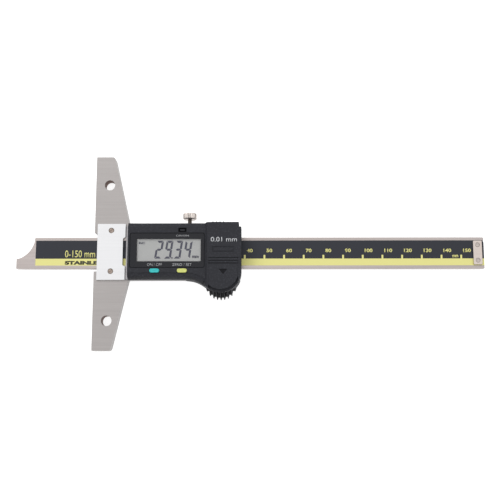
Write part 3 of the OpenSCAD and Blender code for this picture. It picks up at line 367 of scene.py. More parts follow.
def surface(name, colour, roughness, pattern="grain", density=2600.0, shade=0.15, gloss=0.1, bump=0.25,
            depth=0.02 * MM, wear=0.06, wear_density=90.0, own=None, **plain):
    """Makes a procedural finish: one shared pattern for its texture and one for its handling marks.

    shade darkens the colour under the pattern's mask, or lightens it where it is negative. gloss spreads
    the roughness over the mask, and wear does both for the marks.
    own fills the pattern's further inputs and plain sets the shader's own sockets.
    """
    found = bpy.data.materials.get(name)
    if found:
        return found
    made = bpy.data.materials.new(name)
    made.use_nodes = True
    tree = made.node_tree
    shader = tree.nodes["Principled BSDF"]
    place = add(tree, "ShaderNodeTexCoord").outputs["Object"]
    texture = add(tree, "ShaderNodeGroup", {}, node_tree=patterns()[pattern])
    tree.links.new(place, texture.inputs["Vector"])
    texture.inputs["Density"].default_value = density
    for key, value in (own or {}).items():
        texture.inputs[key].default_value = value
    marks = add(tree, "ShaderNodeGroup", {}, node_tree=patterns()["marks"])
    tree.links.new(place, marks.inputs["Vector"])
    marks.inputs["Density"].default_value = wear_density
    grime, marks_gain = 0.02, 4.0
    base = (*colour[:3], 1.0)
    shaded = (*(channel * (1.0 - shade) for channel in colour[:3]), 1.0)
    worn = (*(channel * (1.0 - wear) + grime * wear for channel in colour[:3]), 1.0)
    toned = add(tree, "ShaderNodeMix", {0: texture.outputs["Mask"], 6: base, 7: shaded}, data_type="RGBA")
    touched = add(tree, "ShaderNodeMath", {0: marks.outputs["Mask"], 1: min(1.0, marks_gain * wear)},
                  operation="MULTIPLY")
    final = add(tree, "ShaderNodeMix", {0: touched.outputs[0], 6: toned.outputs[2], 7: worn},
                data_type="RGBA")
    tree.links.new(final.outputs[2], shader.inputs["Base Color"])
    swing = add(tree, "ShaderNodeMath", {0: texture.outputs["Mask"], 1: gloss, 2: roughness},
                operation="MULTIPLY_ADD")
    rough = add(tree, "ShaderNodeMath", {0: marks.outputs["Mask"], 1: wear, 2: swing.outputs[0]},
                operation="MULTIPLY_ADD", use_clamp=True)
    tree.links.new(rough.outputs[0], shader.inputs["Roughness"])
    relief = add(tree, "ShaderNodeBump", {
        "Height": texture.outputs["Height"], "Strength": bump, "Distance": depth})
    tree.links.new(relief.outputs[0], shader.inputs["Normal"])
    for key, value in plain.items():
        shader.inputs[key.replace("_", " ")].default_value = value
    return made


def steel(name, colour, roughness=0.36, **changes):
    """A brushed or ground steel."""
    density = bpy.context.scene.gauge_steel.line_density
    values = dict(pattern="lines", density=density, shade=0.16, gloss=0.1, bump=0.12,
                  depth=0.004 * MM, wear=0.02, Metallic=1.0)
    values.update(changes)
    return surface(name, colour, roughness, **values)


def plastic(name, colour, roughness=0.5, **changes):
    """A moulded plastic with a fine grain."""
    look = bpy.context.scene.gauge_plastic
    values = dict(density=look.grain_density, depth=look.grain_depth, shade=-0.8, gloss=0.08, bump=0.5,
                  own={"Speckle": 0.8}, Specular_IOR_Level=look.shine)
    values.update(changes)
    return surface(name, colour, roughness, **values)


def recess():
    """The same plastic darkened as painted shade, where it is sunk and stays in the dark."""
    look = bpy.context.scene.gauge_plastic
    # Share of the housing colour left in this painted shade
    painted_shade = 0.35
    return plastic("Painted Recess Shade", tuple(painted_shade * part for part in look.housing_colour), 0.6)


def ink(name, colour, roughness=0.55, **changes):
    """Screen printed ink."""
    values = dict(density=4000.0, shade=0.08, gloss=0.05, bump=0.15, depth=0.004 * MM, wear=0.03)
    values.update(changes)
    return surface(name, colour, roughness, **values)


def clear_lens():
    """The clear window, which lets the display through and shows a faint soft reflection."""
    return surface("Clear Lens", (0.30, 0.31, 0.31), 0.12, density=900.0, shade=0.02, gloss=0.04,
                   bump=0.02, wear=0.02, Alpha=0.06, IOR=1.49)


def piece(name, mesh, body, slot, finish, *nodes):
    """Puts a finished mesh in the scene on its body, in place of the given CAD nodes; its slot is not
    used.
    """
    mesh.name = name
    made = bpy.data.objects.new(name, mesh)
    bpy.context.scene.collection.objects.link(made)
    mesh.materials.clear()
    mesh.materials.append(finish)
    for polygon in mesh.polygons:
        polygon.material_index = 0
    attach(made, body)
    if nodes:
        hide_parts(*nodes)
    return made


def smooth(mesh):
    """Shades a mesh smooth but for its sharp edges."""
    mesh.shade_smooth()
    mesh.set_sharp_from_angle(angle=SMOOTH_ANGLE)


def baked(mesh, prepare):
    """Gives a mesh its modifiers on a passing object and returns the plain result."""
    helper = bpy.data.objects.new("Helper", mesh)
    bpy.context.scene.collection.objects.link(helper)
    prepare(helper)
    evaluated = helper.evaluated_get(bpy.context.evaluated_depsgraph_get())
    result = bpy.data.meshes.new_from_object(evaluated)
    helper.modifiers.clear()
    bpy.data.objects.remove(helper)
    return result


def merged_copy(node):
    """A copy of a CAD node's mesh with its points merged and its flat faces joined."""
    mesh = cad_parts[node].data.copy()
    work = bmesh.new()
    work.from_mesh(mesh)
    bmesh.ops.remove_doubles(work, verts=work.verts, dist=MERGE)
    bmesh.ops.dissolve_limit(work, angle_limit=FLAT_ANGLE, verts=work.verts, edges=work.edges)
    for edge in work.edges:
        edge.smooth = True
    work.to_mesh(mesh)
    work.free()
    return mesh


def dress(name, node, body, slot, finish, edge, segments=2):
    """Stands a copy of a CAD node with softly broken edges in that node's place."""
    def break_edges(helper):
        bevel = helper.modifiers.new("Broken edges", "BEVEL")
        bevel.width = edge
        bevel.segments = segments
        bevel.limit_method = "ANGLE"
        bevel.angle_limit = EDGE_ANGLE
        bevel.use_clamp_overlap = True

    def level(helper):
        weighted = helper.modifiers.new("Flat faces", "WEIGHTED_NORMAL")
        weighted.weight = FACE_WEIGHT
        weighted.keep_sharp = True

    mesh = merged_copy(node)
    if edge:
        mesh = baked(mesh, break_edges)
    smooth(mesh)
    mesh = baked(mesh, level)
    return piece(name, mesh, body, slot, finish, node)


def paint(node, finish):
    """Gives a CAD node that is shown as it is its finish."""
    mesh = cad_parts[node].data
    mesh.materials.clear()
    mesh.materials.append(finish)


def solids(node):
    """Boxes of the separate solids in a CAD node, as pairs of corners, from left to right."""
    work = bmesh.new()
    work.from_mesh(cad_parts[node].data)
    bmesh.ops.remove_doubles(work, verts=work.verts, dist=MERGE)
    waiting = set(work.verts)
    boxes = []
    while waiting:
        reached = [waiting.pop()]
        island = []
        while reached:
            point = reached.pop()
            island.append(point.co.copy())
            for edge in point.link_edges:
                other = edge.other_vert(point)
                if other in waiting:
                    waiting.remove(other)
                    reached.append(other)
        low = Vector(min(p[axis] for p in island) for axis in range(3))
        high = Vector(max(p[axis] for p in island) for axis in range(3))
        boxes.append((low, high))
    work.free()
    return sorted(boxes, key=lambda corners: (round(corners[0].x, 5), corners[0].y))


def shape_tree(name, inputs):
    """Starts a Geometry Nodes tree with its sizes as named inputs, and a finish."""
    sockets = {"Geometry": ("NodeSocketGeometry", None)}
    sockets.update(inputs)
    sockets["Finish"] = ("NodeSocketMaterial", None)
    return new_group(name, "GeometryNodeTree", sockets, {"Geometry": "NodeSocketGeometry"})


def close_tree(group, given, out, shape):
    """Ends a tree: real geometry with its finish."""
    real = add(group, "GeometryNodeRealizeInstances", {"Geometry": shape})
    coated = add(group, "GeometryNodeSetMaterial", {
        "Geometry": real.outputs[0], "Material": given["Finish"]})
    group.links.new(coated.outputs[0], out["Geometry"])
    return group


def maths(group, operation, *values):
    """One sum in a tree, with numbers or sockets in it."""
    return add(group, "ShaderNodeMath", dict(enumerate(values)), operation=operation).outputs[0]


def upright(group, mesh, height):
    """Moves a mesh of a tree along Z."""
    place = add(group, "ShaderNodeCombineXYZ", {"Z": height})
    return add(group, "GeometryNodeTransform", {
        "Geometry": mesh, "Translation": place.outputs[0]}).outputs[0]


def slotted_screw():
    """Tree that stands a slotted screw on each point, with the head's top at the point."""
    distance = "NodeSocketFloat"
    group, given, out = shape_tree("Slotted Screw", {
        "Head Diameter": (distance, 2.7 * MM), "Head Height": (distance, 0.7 * MM),
        "Thread Diameter": (distance, 1.6 * MM), "Length": (distance, 5 * MM),
        "Slot Width": (distance, 0.4 * MM), "Top Share": (distance, 0.84),
        "Rotation": ("NodeSocketVector", (0.0, 0.0, 0.0))})
    head_sides, shank_sides = 40, 24
    flange_share, slot_reach = 0.7, 1.6
    radius = maths(group, "MULTIPLY", given["Head Diameter"], 0.5)
    disc = add(group, "GeometryNodeMeshCircle", {"Vertices": head_sides, "Radius": radius},
               fill_type="NGON")
    flange = maths(group, "MULTIPLY", given["Head Height"], flange_share)
    crown = maths(group, "MULTIPLY", given["Head Height"], 1.0 - flange_share)
    wall = add(group, "GeometryNodeExtrudeMesh", {"Mesh": disc.outputs[0], "Offset Scale": flange},
               mode="FACES")
    dome = add(group, "GeometryNodeExtrudeMesh", {
        "Mesh": wall.outputs[0], "Selection": wall.outputs["Top"], "Offset Scale": crown}, mode="FACES")
    round_top = add(group, "GeometryNodeScaleElements", {
        "Geometry": dome.outputs[0], "Selection": dome.outputs["Top"], "Scale": given["Top Share"]})
    under = add(group, "GeometryNodeFlipFaces", {"Mesh": disc.outputs[0]})
    joined = group.nodes.new("GeometryNodeJoinGeometry")
    group.links.new(under.outputs[0], joined.inputs[0])
    group.links.new(round_top.outputs[0], joined.inputs[0])
    closed = add(group, "GeometryNodeMergeByDistance", {"Geometry": joined.outputs[0], "Distance": MERGE})
    sunk = maths(group, "MULTIPLY", given["Head Height"], -1.0)
    head = upright(group, closed.outputs[0], sunk)
    cutter = add(group, "ShaderNodeCombineXYZ", {
        "X": maths(group, "MULTIPLY", given["Head Diameter"], slot_reach), "Y": given["Slot Width"],
        "Z": given["Head Height"]})
    bar = add(group, "GeometryNodeMeshCube", {"Size": cutter.outputs[0]})
    slotted = add(group, "GeometryNodeMeshBoolean", {"Mesh 1": head}, operation="DIFFERENCE",
                  solver="EXACT")
    group.links.new(bar.outputs[0], slotted.inputs["Mesh 2"])
    shank_length = maths(group, "SUBTRACT", given["Length"], given["Head Height"])
    shank = add(group, "GeometryNodeMeshCylinder", {
        "Vertices": shank_sides, "Radius": maths(group, "MULTIPLY", given["Thread Diameter"], 0.5),
        "Depth": shank_length})
    drop = maths(group, "MULTIPLY_ADD", shank_length, -0.5, sunk)
    both = group.nodes.new("GeometryNodeJoinGeometry")
    group.links.new(upright(group, shank.outputs[0], drop), both.inputs[0])
    group.links.new(slotted.outputs[0], both.inputs[0])
    screws = add(group, "GeometryNodeInstanceOnPoints", {
        "Points": given["Geometry"], "Instance": both.outputs[0], "Rotation": given["Rotation"]})
    return close_tree(group, given, out, screws.outputs[0])


def knurled_knob():
    """Tree that stands a ridged, bevelled and dished knob with its stem on each point, face up."""
    distance = "NodeSocketFloat"
    group, given, out = shape_tree("Knurled Knob", {
        "Diameter": (distance, 6.7 * MM), "Height": (distance, 3.3 * MM),
        "Bevel": (distance, 0.5 * MM), "Crown": (distance, 0.6 * MM), "Ridges": ("NodeSocketInt", 26),
        "Ridge Depth": (distance, 0.2 * MM), "Dish": (distance, 0.35 * MM),
        "Stem Diameter": (distance, 2 * MM), "Stem Length": (distance, 9 * MM),
        "Rotation": ("NodeSocketVector", (0.0, 0.0, 0.0))})
    points_a_ridge, stem_sides = 6.0, 32
    crown_angles = (30, 60, 90)
    face_share, dish_share, rim_share = 0.8, 0.9, 0.97
    radius = maths(group, "MULTIPLY", given["Diameter"], 0.5)
    narrow = maths(group, "SUBTRACT", radius, given["Bevel"])
    widen = maths(group, "DIVIDE", radius, narrow)
    sides = maths(group, "MULTIPLY", given["Ridges"], points_a_ridge)
    disc = add(group, "GeometryNodeMeshCircle", {"Vertices": sides, "Radius": narrow}, fill_type="NGON")
    both_ends = maths(group, "ADD", given["Bevel"], given["Crown"])
    grip = maths(group, "SUBTRACT", given["Height"], both_ends)
    shape = disc.outputs[0]
    top = None
    steps = [(given["Bevel"], widen), (grip, 1.0)]
    before, risen = radius, 0.0
    for angle in crown_angles:
        rise, inset = math.sin(math.radians(angle)), 1 - math.cos(math.radians(angle))
        after = maths(group, "MULTIPLY_ADD", given["Crown"], -inset, radius)
        steps.append((maths(group, "MULTIPLY", given["Crown"], rise - risen),
                      maths(group, "DIVIDE", after, before)))
        before, risen = after, rise
    steps += [(0.0, face_share), (maths(group, "MULTIPLY", given["Dish"], -1.0), dish_share)]
    for height, scale in steps:
        pulled = add(group, "GeometryNodeExtrudeMesh", {"Mesh": shape, "Offset Scale": height},
                     mode="FACES")
        if top:
            group.links.new(top, pulled.inputs["Selection"])
        sized = add(group, "GeometryNodeScaleElements", {
            "Geometry": pulled.outputs[0], "Selection": pulled.outputs["Top"], "Scale": scale})
        shape = sized.outputs[0]
        top = pulled.outputs["Top"]
    under = add(group, "GeometryNodeFlipFaces", {"Mesh": disc.outputs[0]})
    joined = group.nodes.new("GeometryNodeJoinGeometry")
    group.links.new(under.outputs[0], joined.inputs[0])
    group.links.new(shape, joined.inputs[0])
    closed = add(group, "GeometryNodeMergeByDistance", {"Geometry": joined.outputs[0], "Distance": MERGE})
    position = group.nodes.new("GeometryNodeInputPosition").outputs[0]
    point = add(group, "ShaderNodeSeparateXYZ", {0: position})
    turn = maths(group, "ARCTAN2", point.outputs["Y"], point.outputs["X"])
    wave = maths(group, "COSINE", maths(group, "MULTIPLY", turn, given["Ridges"]))
    sink = maths(group, "MULTIPLY", maths(group, "SUBTRACT", wave, 1.0),
                 maths(group, "MULTIPLY", given["Ridge Depth"], 0.5))
    flat = add(group, "ShaderNodeCombineXYZ", {"X": point.outputs["X"], "Y": point.outputs["Y"]})
    reach = add(group, "ShaderNodeVectorMath", {0: flat.outputs[0]}, operation="LENGTH").outputs["Value"]
    rim = maths(group, "GREATER_THAN", reach, maths(group, "MULTIPLY", radius, rim_share))
    outward = add(group, "ShaderNodeVectorMath", {0: flat.outputs[0]}, operation="NORMALIZE").outputs[0]
    push = add(group, "ShaderNodeVectorMath", {0: outward, "Scale": maths(group, "MULTIPLY", sink, rim)},
               operation="SCALE").outputs[0]
    ridged = add(group, "GeometryNodeSetPosition", {"Geometry": closed.outputs[0], "Offset": push})
    stem = add(group, "GeometryNodeMeshCylinder", {
        "Vertices": stem_sides, "Radius": maths(group, "MULTIPLY", given["Stem Diameter"], 0.5),
        "Depth": given["Stem Length"]})
    both = group.nodes.new("GeometryNodeJoinGeometry")
    below = maths(group, "MULTIPLY", given["Stem Length"], -0.5)
    group.links.new(upright(group, stem.outputs[0], below), both.inputs[0])
    group.links.new(ridged.outputs[0], both.inputs[0])
    knobs = add(group, "GeometryNodeInstanceOnPoints", {
        "Points": given["Geometry"], "Instance": both.outputs[0], "Rotation": given["Rotation"]})
    return close_tree(group, given, out, knobs.outputs[0])


def grown(tree, points, values):
    """Runs a tree on a set of points with the named values and returns a plain smooth mesh."""
    def prepare(helper):
        modifier = helper.modifiers.new("Shape", "NODES")
        modifier.node_group = tree
        for item in tree.interface.items_tree:
            if item.in_out == "INPUT" and item.name in values:
                modifier[item.identifier] = values[item.name]
    seeds = bpy.data.meshes.new("Points")
    seeds.from_pydata([tuple(point) for point in points], [], [])
    mesh = baked(seeds, prepare)
    smooth(mesh)
    return mesh


def prism(outlines, low, high):
    """A mesh of flat shapes with straight sides from low to high; outlines run anticlockwise."""
    work = bmesh.new()
    for outline in outlines:
        lower = [work.verts.new((x, y, low)) for x, y in outline]
        upper = [work.verts.new((x, y, high)) for x, y in outline]
        work.faces.new(list(reversed(lower)))
        work.faces.new(upper)
        for here in range(len(outline)):
            there = (here + 1) % len(outline)
            work.faces.new((lower[here], lower[there], upper[there], upper[here]))
    mesh = bpy.data.meshes.new("Prism")
    work.to_mesh(mesh)
    work.free()
    return mesh


def words(lines, z, thickness=0.012 * MM):
    """One mesh of printed words.

    Each line is (text, x, y of its foot, height, align, width, weight). width squeezes it to that length,
    and weight thickens its strokes, as a share of the letters' size.
    """
    work = bmesh.new()
    for text, x, y, height, align, width, weight in lines:
        curve = bpy.data.curves.new("Words", "FONT")
        curve.body = text
        curve.size = 1.0
        curve.offset = weight
        curve.resolution_u = 4
        helper = bpy.data.objects.new("Words", curve)
        bpy.context.scene.collection.objects.link(helper)
        evaluated = helper.evaluated_get(bpy.context.evaluated_depsgraph_get())
        mesh = bpy.data.meshes.new_from_object(evaluated)
        bpy.data.objects.remove(helper)
        left = min(v.co.x for v in mesh.vertices)
        right = max(v.co.x for v in mesh.vertices)
        foot = min(v.co.y for v in mesh.vertices)
        top = max(v.co.y for v in mesh.vertices)
        tall = height / (top - foot)
        wide = width / (right - left) if width else tall
        start = x - ALIGNED[align] * wide * (right - left)
        mesh.transform(Matrix.Translation((start, y, z)) @ Matrix.Diagonal((wide, tall, 1.0, 1.0))
                       @ Matrix.Translation((-left, -foot, 0.0)))
        work.from_mesh(mesh)
        bpy.data.meshes.remove(mesh)
    bmesh.ops.remove_doubles(work, verts=work.verts, dist=MERGE)
    raised = bmesh.ops.extrude_face_region(work, geom=work.faces[:])
    top_points = [item for item in raised["geom"] if isinstance(item, bmesh.types.BMVert)]
    bmesh.ops.translate(work, verts=top_points, vec=(0.0, 0.0, thickness))
    bmesh.ops.recalc_face_normals(work, faces=work.faces[:])
    result = bpy.data.meshes.new("Words")
    work.to_mesh(result)
    work.free()
    return result


def repaint(made, finish, chosen):
    """Gives the faces of a piece whose centre and normal pass a test their own finish."""
    made.data.materials.append(finish)
    for polygon in made.data.polygons:
        if chosen(polygon.center, polygon.normal):
            polygon.material_index = len(made.data.materials) - 1


def middle(node):
    """Centre of a CAD node's box."""
    low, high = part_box(node)
    return (low + high) / 2


class GAUGE_OT_stage(bpy.types.Operator):
    """Lay the pale floor, hang the soft lights and set the camera"""
    bl_idname = "gauge.stage"
    bl_label = "Stage"

    def execute(self, context):
        look = context.scene.gauge_stage
        self.floor(look)
        self.lights(context.scene, look)
        self.camera(context.scene, look)
        return {"FINISHED"}

    def floor(self, look):
        """The pale floor, just clear of the gauge's back."""
        reach = 3.0
        clearance = 0.02 * MM
        drop = cad_box[0].z - clearance
        mesh = bpy.data.meshes.new("Floor")
        mesh.from_pydata([(-reach, -reach, drop), (reach, -reach, drop), (reach, reach, drop),
                          (-reach, reach, drop)], [], [(0, 1, 2, 3)])
        floor = bpy.data.objects.new("Floor", mesh)
        bpy.context.scene.collection.objects.link(floor)
        pale = surface("Pale Floor", look.floor_colour, 0.9, density=300.0, shade=0.01, gloss=0.02,
                       bump=0.02, wear=0.005, wear_density=12.0, Emission_Strength=1.0)
        self.light_table(pale, look.floor_glow)
        mesh.materials.append(pale)

    def light_table(self, pale, glow):
        """Lets the floor glow for the camera and in polished metal, but cast no light from below."""
        tree = pale.node_tree
        path = add(tree, "ShaderNodeLightPath").outputs
        seen = maths(tree, "ADD", path["Is Camera Ray"], path["Is Glossy Ray"])
        lit = add(tree, "ShaderNodeMix", {0: seen, 6: (0.0, 0.0, 0.0, 1.0), 7: (glow, glow, glow, 1.0)},
                  data_type="RGBA")
        tree.links.new(lit.outputs[2], tree.nodes["Principled BSDF"].inputs["Emission Color"])

    def lights(self, scene, look):
        """Even light from all round, a large softbox overhead and a small one from the upper left."""
        world = bpy.data.worlds.new("Studio")
        world.use_nodes = True
        background = world.node_tree.nodes["Background"]
        background.inputs["Color"].default_value = (1.0, 1.0, 1.0, 1.0)
        background.inputs["Strength"].default_value = look.sky
        scene.world = world
        centre = Vector((middle("beam_bar").x, 0.0, 0.0))
        # Name, place beside the beam's middle, size and power of each lamp
        rows = (("Softbox", Vector((0.0, 0.3, 1.3)), 2.4, look.softbox),
                ("Side light", Vector((-0.7, 0.9, 0.8)), 0.5, look.side_light))
        for name, offset, size, power in rows:
            lamp = bpy.data.lights.new(name, "AREA")
            lamp.size = size
            lamp.energy = power
            holder = bpy.data.objects.new(name, lamp)
            holder.matrix_world = (Matrix.Translation(centre + offset)
                                   @ offset.to_track_quat("Z", "Y").to_matrix().to_4x4())
            scene.collection.objects.link(holder)
        scene.view_settings.view_transform = "Standard"
        scene.view_settings.look = "None"

    def camera(self, scene, look):
        """The camera at the photograph's viewing angle."""
        data = bpy.data.cameras.new("Camera")
        data.lens = look.focal_length
        data.sensor_width = 36.0
        data.clip_start = 0.01
        holder = bpy.data.objects.new("Camera", data)
        x, y, z = look.camera_lean
        turn = Matrix.Rotation(x, 4, "X") @ Matrix.Rotation(y, 4, "Y") @ Matrix.Rotation(z, 4, "Z")
        holder.matrix_world = Matrix.Translation(look.camera_place) @ turn
        scene.collection.objects.link(holder)
        scene.camera = holder


class GAUGE_OT_base(bpy.types.Operator):
    """Finish the ground cross base and its bright cover plate, with painted shade on the walls of its two
    holes
    """
    bl_idname = "gauge.base"
    bl_label = "Base"

    def execute(self, context):
        look = context.scene.gauge_steel
        ground = steel("Ground Base Steel", look.base_colour, 0.4, shade=0.06, gloss=0.05, bump=0.06)
        bright = steel("Bright Plate", look.plate_colour, 0.3, shade=0.03, bump=0.07)
        # Painted shade: a dark brownish colour on the walls of the two fixing holes
        bore_shade = steel("Bore Painted Shade", (0.15, 0.085, 0.07), 0.5)
        block = dress("cross_base", "base_block", "head", "base_steel", ground, look.edge)
        repaint(block, bore_shade, self.in_bore)
        dress("cover_plate", "base_plate", "head", "plate_satin", bright, look.edge)
        return {"FINISHED"}

    def in_bore(self, centre, normal):
        """Whether a face is part of the wall of one of the two fixing holes."""
        off_middle = 35.0 * MM
        reach = 2.75 * MM
        steepest = 0.4
        return abs(normal.z) < steepest and math.hypot(centre.x, abs(centre.y) - off_middle) < reach


class GAUGE_OT_slider(bpy.types.Operator):
    """Finish the slider frame, its rear plate and the gib strip"""
    bl_idname = "gauge.slider"
    bl_label = "Slider frame"

    def execute(self, context):
        look = context.scene.gauge_steel
        satin = steel("Satin Frame Steel", look.frame_colour, 0.34)
        rear = steel("Satin Rear Plate", look.frame_colour, 0.28, shade=0.1)
        bronze = surface("Gib Bronze", (0.45, 0.28, 0.10), 0.35, "lines", 2400.0, Metallic=1.0)
        dress("channel_frame", "slider_frame", "head", "frame_steel", satin, look.edge)
        dress("back_plate", "rear_plate", "head", "plate_satin", rear, look.fine_edge)
        paint("gib_strip", bronze)
        return {"FINISHED"}


class GAUGE_OT_beam(bpy.types.Operator):
    """Finish the beam, its foil and yellow band, and the stop plate"""
    bl_idname = "gauge.beam"
    bl_label = "Beam"

    def execute(self, context):
        look = context.scene.gauge_steel
        print_look = context.scene.gauge_scale
        rails = steel("Ground Beam Steel", look.beam_colour, 0.36, own={"Length": 0.01})
        polished = steel("Polished Stop", look.stop_colour, 0.2, shade=0.06, bump=0.1)
        foil = ink("Black Foil", print_look.foil_colour, 0.42, shade=-0.2, gloss=0.08,
                   Specular_IOR_Level=0.25)
        band = ink("Yellow Print", print_look.print_colour, 0.5)
        board = surface("Scale Laminate", (0.17, 0.075, 0.025), 0.6, "lines", 1500.0, shade=0.3)
        dress("beam_rails", "beam_bar", "beam", "beam_steel", rails, look.fine_edge)
        dress("stop_plate", "end_stop", "beam", "stop_steel", polished, look.fine_edge)
        paint("scale_foil", foil)
        paint("scale_band", band)
        paint("scale_board", board)
        return {"FINISHED"}


class GAUGE_OT_housing(bpy.types.Operator):
    """Finish the two housing shells, the battery lid and the data port cover, with painted shade in their
    recesses and grooves
    """
    bl_idname = "gauge.housing"
    bl_label = "Housing"

    def execute(self, context):
        look = context.scene.gauge_plastic
        shell = plastic("Charcoal Housing", look.housing_colour)
        thin = 0.4 * look.edge
        front = dress("front_shell", "front_housing", "head", "black_plastic", shell, look.edge)
        rear = dress("rear_shell", "lower_housing", "head", "black_plastic", shell, thin, 1)
        lid = dress("cell_lid", "battery_lid", "lid", "black_plastic", shell, thin)
        low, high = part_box("battery_lid")
        skin, deepest, lead = 0.05 * MM, 0.5 * MM, 2 * MM

        def sunk(centre, normal):
            return skin < high.z - centre.z < deepest and centre.y > low.y + lead

        # Painted shade: the lid's sunk marks, the origin key's recess walls and the thumb rest's groove
        # walls get the darkened plastic
        repaint(lid, recess(), sunk)
        repaint(front, recess(), self.round_origin_key)
        repaint(rear, recess(), self.in_groove)
        dress("port_cap", "data_port_cover", "port_cover", "black_plastic", shell, thin, 1)
        return {"FINISHED"}

    def round_origin_key(self, centre, normal):
        """Whether a face is part of the recess that the origin key lies in."""
        low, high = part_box("origin_button")
        gap = 0.2 * MM
        return (abs(normal.z) < WALL and low.x - MERGE < centre.x < high.x + MERGE
                and low.y - gap < centre.y < high.y + gap)

    def in_groove(self, centre, normal):
        """Whether a face lies inside one of the grooves of the thumb rest."""
        radius, top_radius, depth = 7.9 * MM, 5.6 * MM, 0.35 * MM
        lean_from = 6.0 * MM
        beside_lid, outer_share = 1.35 * MM, 0.75
        low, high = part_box("lower_housing")
        lid = middle("battery_lid")
        lean = (radius - top_radius) / (high.z - lean_from)
        rim = radius - lean * max(0.0, centre.z - lean_from)
        from_middle = math.hypot(centre.x - lid.x + beside_lid, centre.y - low.y - radius)
        outer = centre.y < low.y + outer_share * radius
        return outer and abs(normal.z) < WALL and from_middle < rim - depth


class GAUGE_OT_display(bpy.types.Operator):
    """Finish the bezel, its clear window and the display with its digits"""
    bl_idname = "gauge.display"
    bl_label = "Display"

    # Segments that are on for each digit, named as on any seven segment display
    LIT = {"0": "abcdef", "1": "bc", "2": "abdeg", "3": "abcdg", "4": "bcfg", "5": "acdfg",
           "6": "acdefg", "7": "abc", "8": "abcdefg", "9": "abcdfg"}

    def execute(self, context):
        look = context.scene.gauge_display
        shell = context.scene.gauge_plastic
        bezel = plastic("Bezel Black", shell.bezel_colour, 0.24, shade=-0.2, bump=0.04, gloss=0.05,
                        Specular_IOR_Level=0.18)
        glass = surface("Display Glass", look.glass_colour, 0.3, density=500.0, shade=0.05, bump=0.02)
        dress("bezel_frame", "display_bezel", "head", "bezel_black", bezel, 0.7 * shell.edge, 3)
        dress("clear_window", "lcd_window", "head", "clear_lens", clear_lens(), 0.08 * MM)
        paint("lcd_glass", glass)
        self.digits(look)
        return {"FINISHED"}

    def digits(self, look):
        """The digits that are on, right of which the unit stands, and the point between them."""
        glass_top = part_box("lcd_glass")[1].z
        window_low, window_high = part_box("lcd_window")
        foot_margin, right_margin, segment_top = 1.4 * MM, 4.7 * MM, 0.02 * MM
        foot = window_low.y + foot_margin
        right = window_high.x - right_margin
        shown = [mark for mark in look.reading if mark != "."]
        outlines = []
        for place, digit in enumerate(shown):
            left = right - (len(shown) - place) * look.digit_pitch + (look.digit_pitch - look.digit_width)
            outlines += self.digit(digit, left, foot, look)
        point = look.reading.index(".")
        between = (look.digit_pitch - look.digit_width - math.tan(look.slant) * look.digit_height) / 2
        point_x = right - (len(shown) - point) * look.digit_pitch + between
        half = 0.38 * MM
        outlines.append([(point_x - half, foot), (point_x + half, foot),
                         (point_x + half, foot + 2 * half), (point_x - half, foot + 2 * half)])
        mesh = prism(outlines, glass_top + ON_GLASS, glass_top + segment_top)
        tone = ink("Display Segments", look.segment_colour, 0.35)
        piece("display_digits", mesh, "head", "lcd_grey", tone)

    def digit(self, digit, left, foot, look):
        """Outlines of a digit's lit segments, leaning to the right."""
        wide, tall = look.digit_width, look.digit_height
        stroke, gap = 1.1 * MM, 0.06 * MM
        half, mid = tall / 2, stroke / 2
        tip, slope = stroke * 0.15, stroke * 0.3
        flat = [(gap + tip, 0.0), (wide - gap - tip, 0.0), (wide - gap - stroke, stroke),
                (gap + stroke, stroke)]
        bar = [(gap + mid, half), (gap + stroke, half - mid), (wide - gap - stroke, half - mid),
               (wide - gap - mid, half), (wide - gap - stroke, half + mid), (gap + stroke, half + mid)]
        post = [(0.0, gap + tip), (stroke, gap + stroke), (stroke, half - gap - mid),
                (mid, half - gap), (0.0, half - gap - slope)]
        shapes = {
            "d": flat,
            "a": [(x, tall - y) for x, y in reversed(flat)],
            "g": bar,
            "e": post,
            "c": [(wide - x, y) for x, y in reversed(post)],
            "f": [(x, tall - y) for x, y in reversed(post)],
            "b": [(wide - x, tall - y) for x, y in post],
        }
        lean = math.tan(look.slant)
        return [[(left + x + lean * (y - half), foot + y) for x, y in shapes[segment]]
                for segment in self.LIT[digit]]


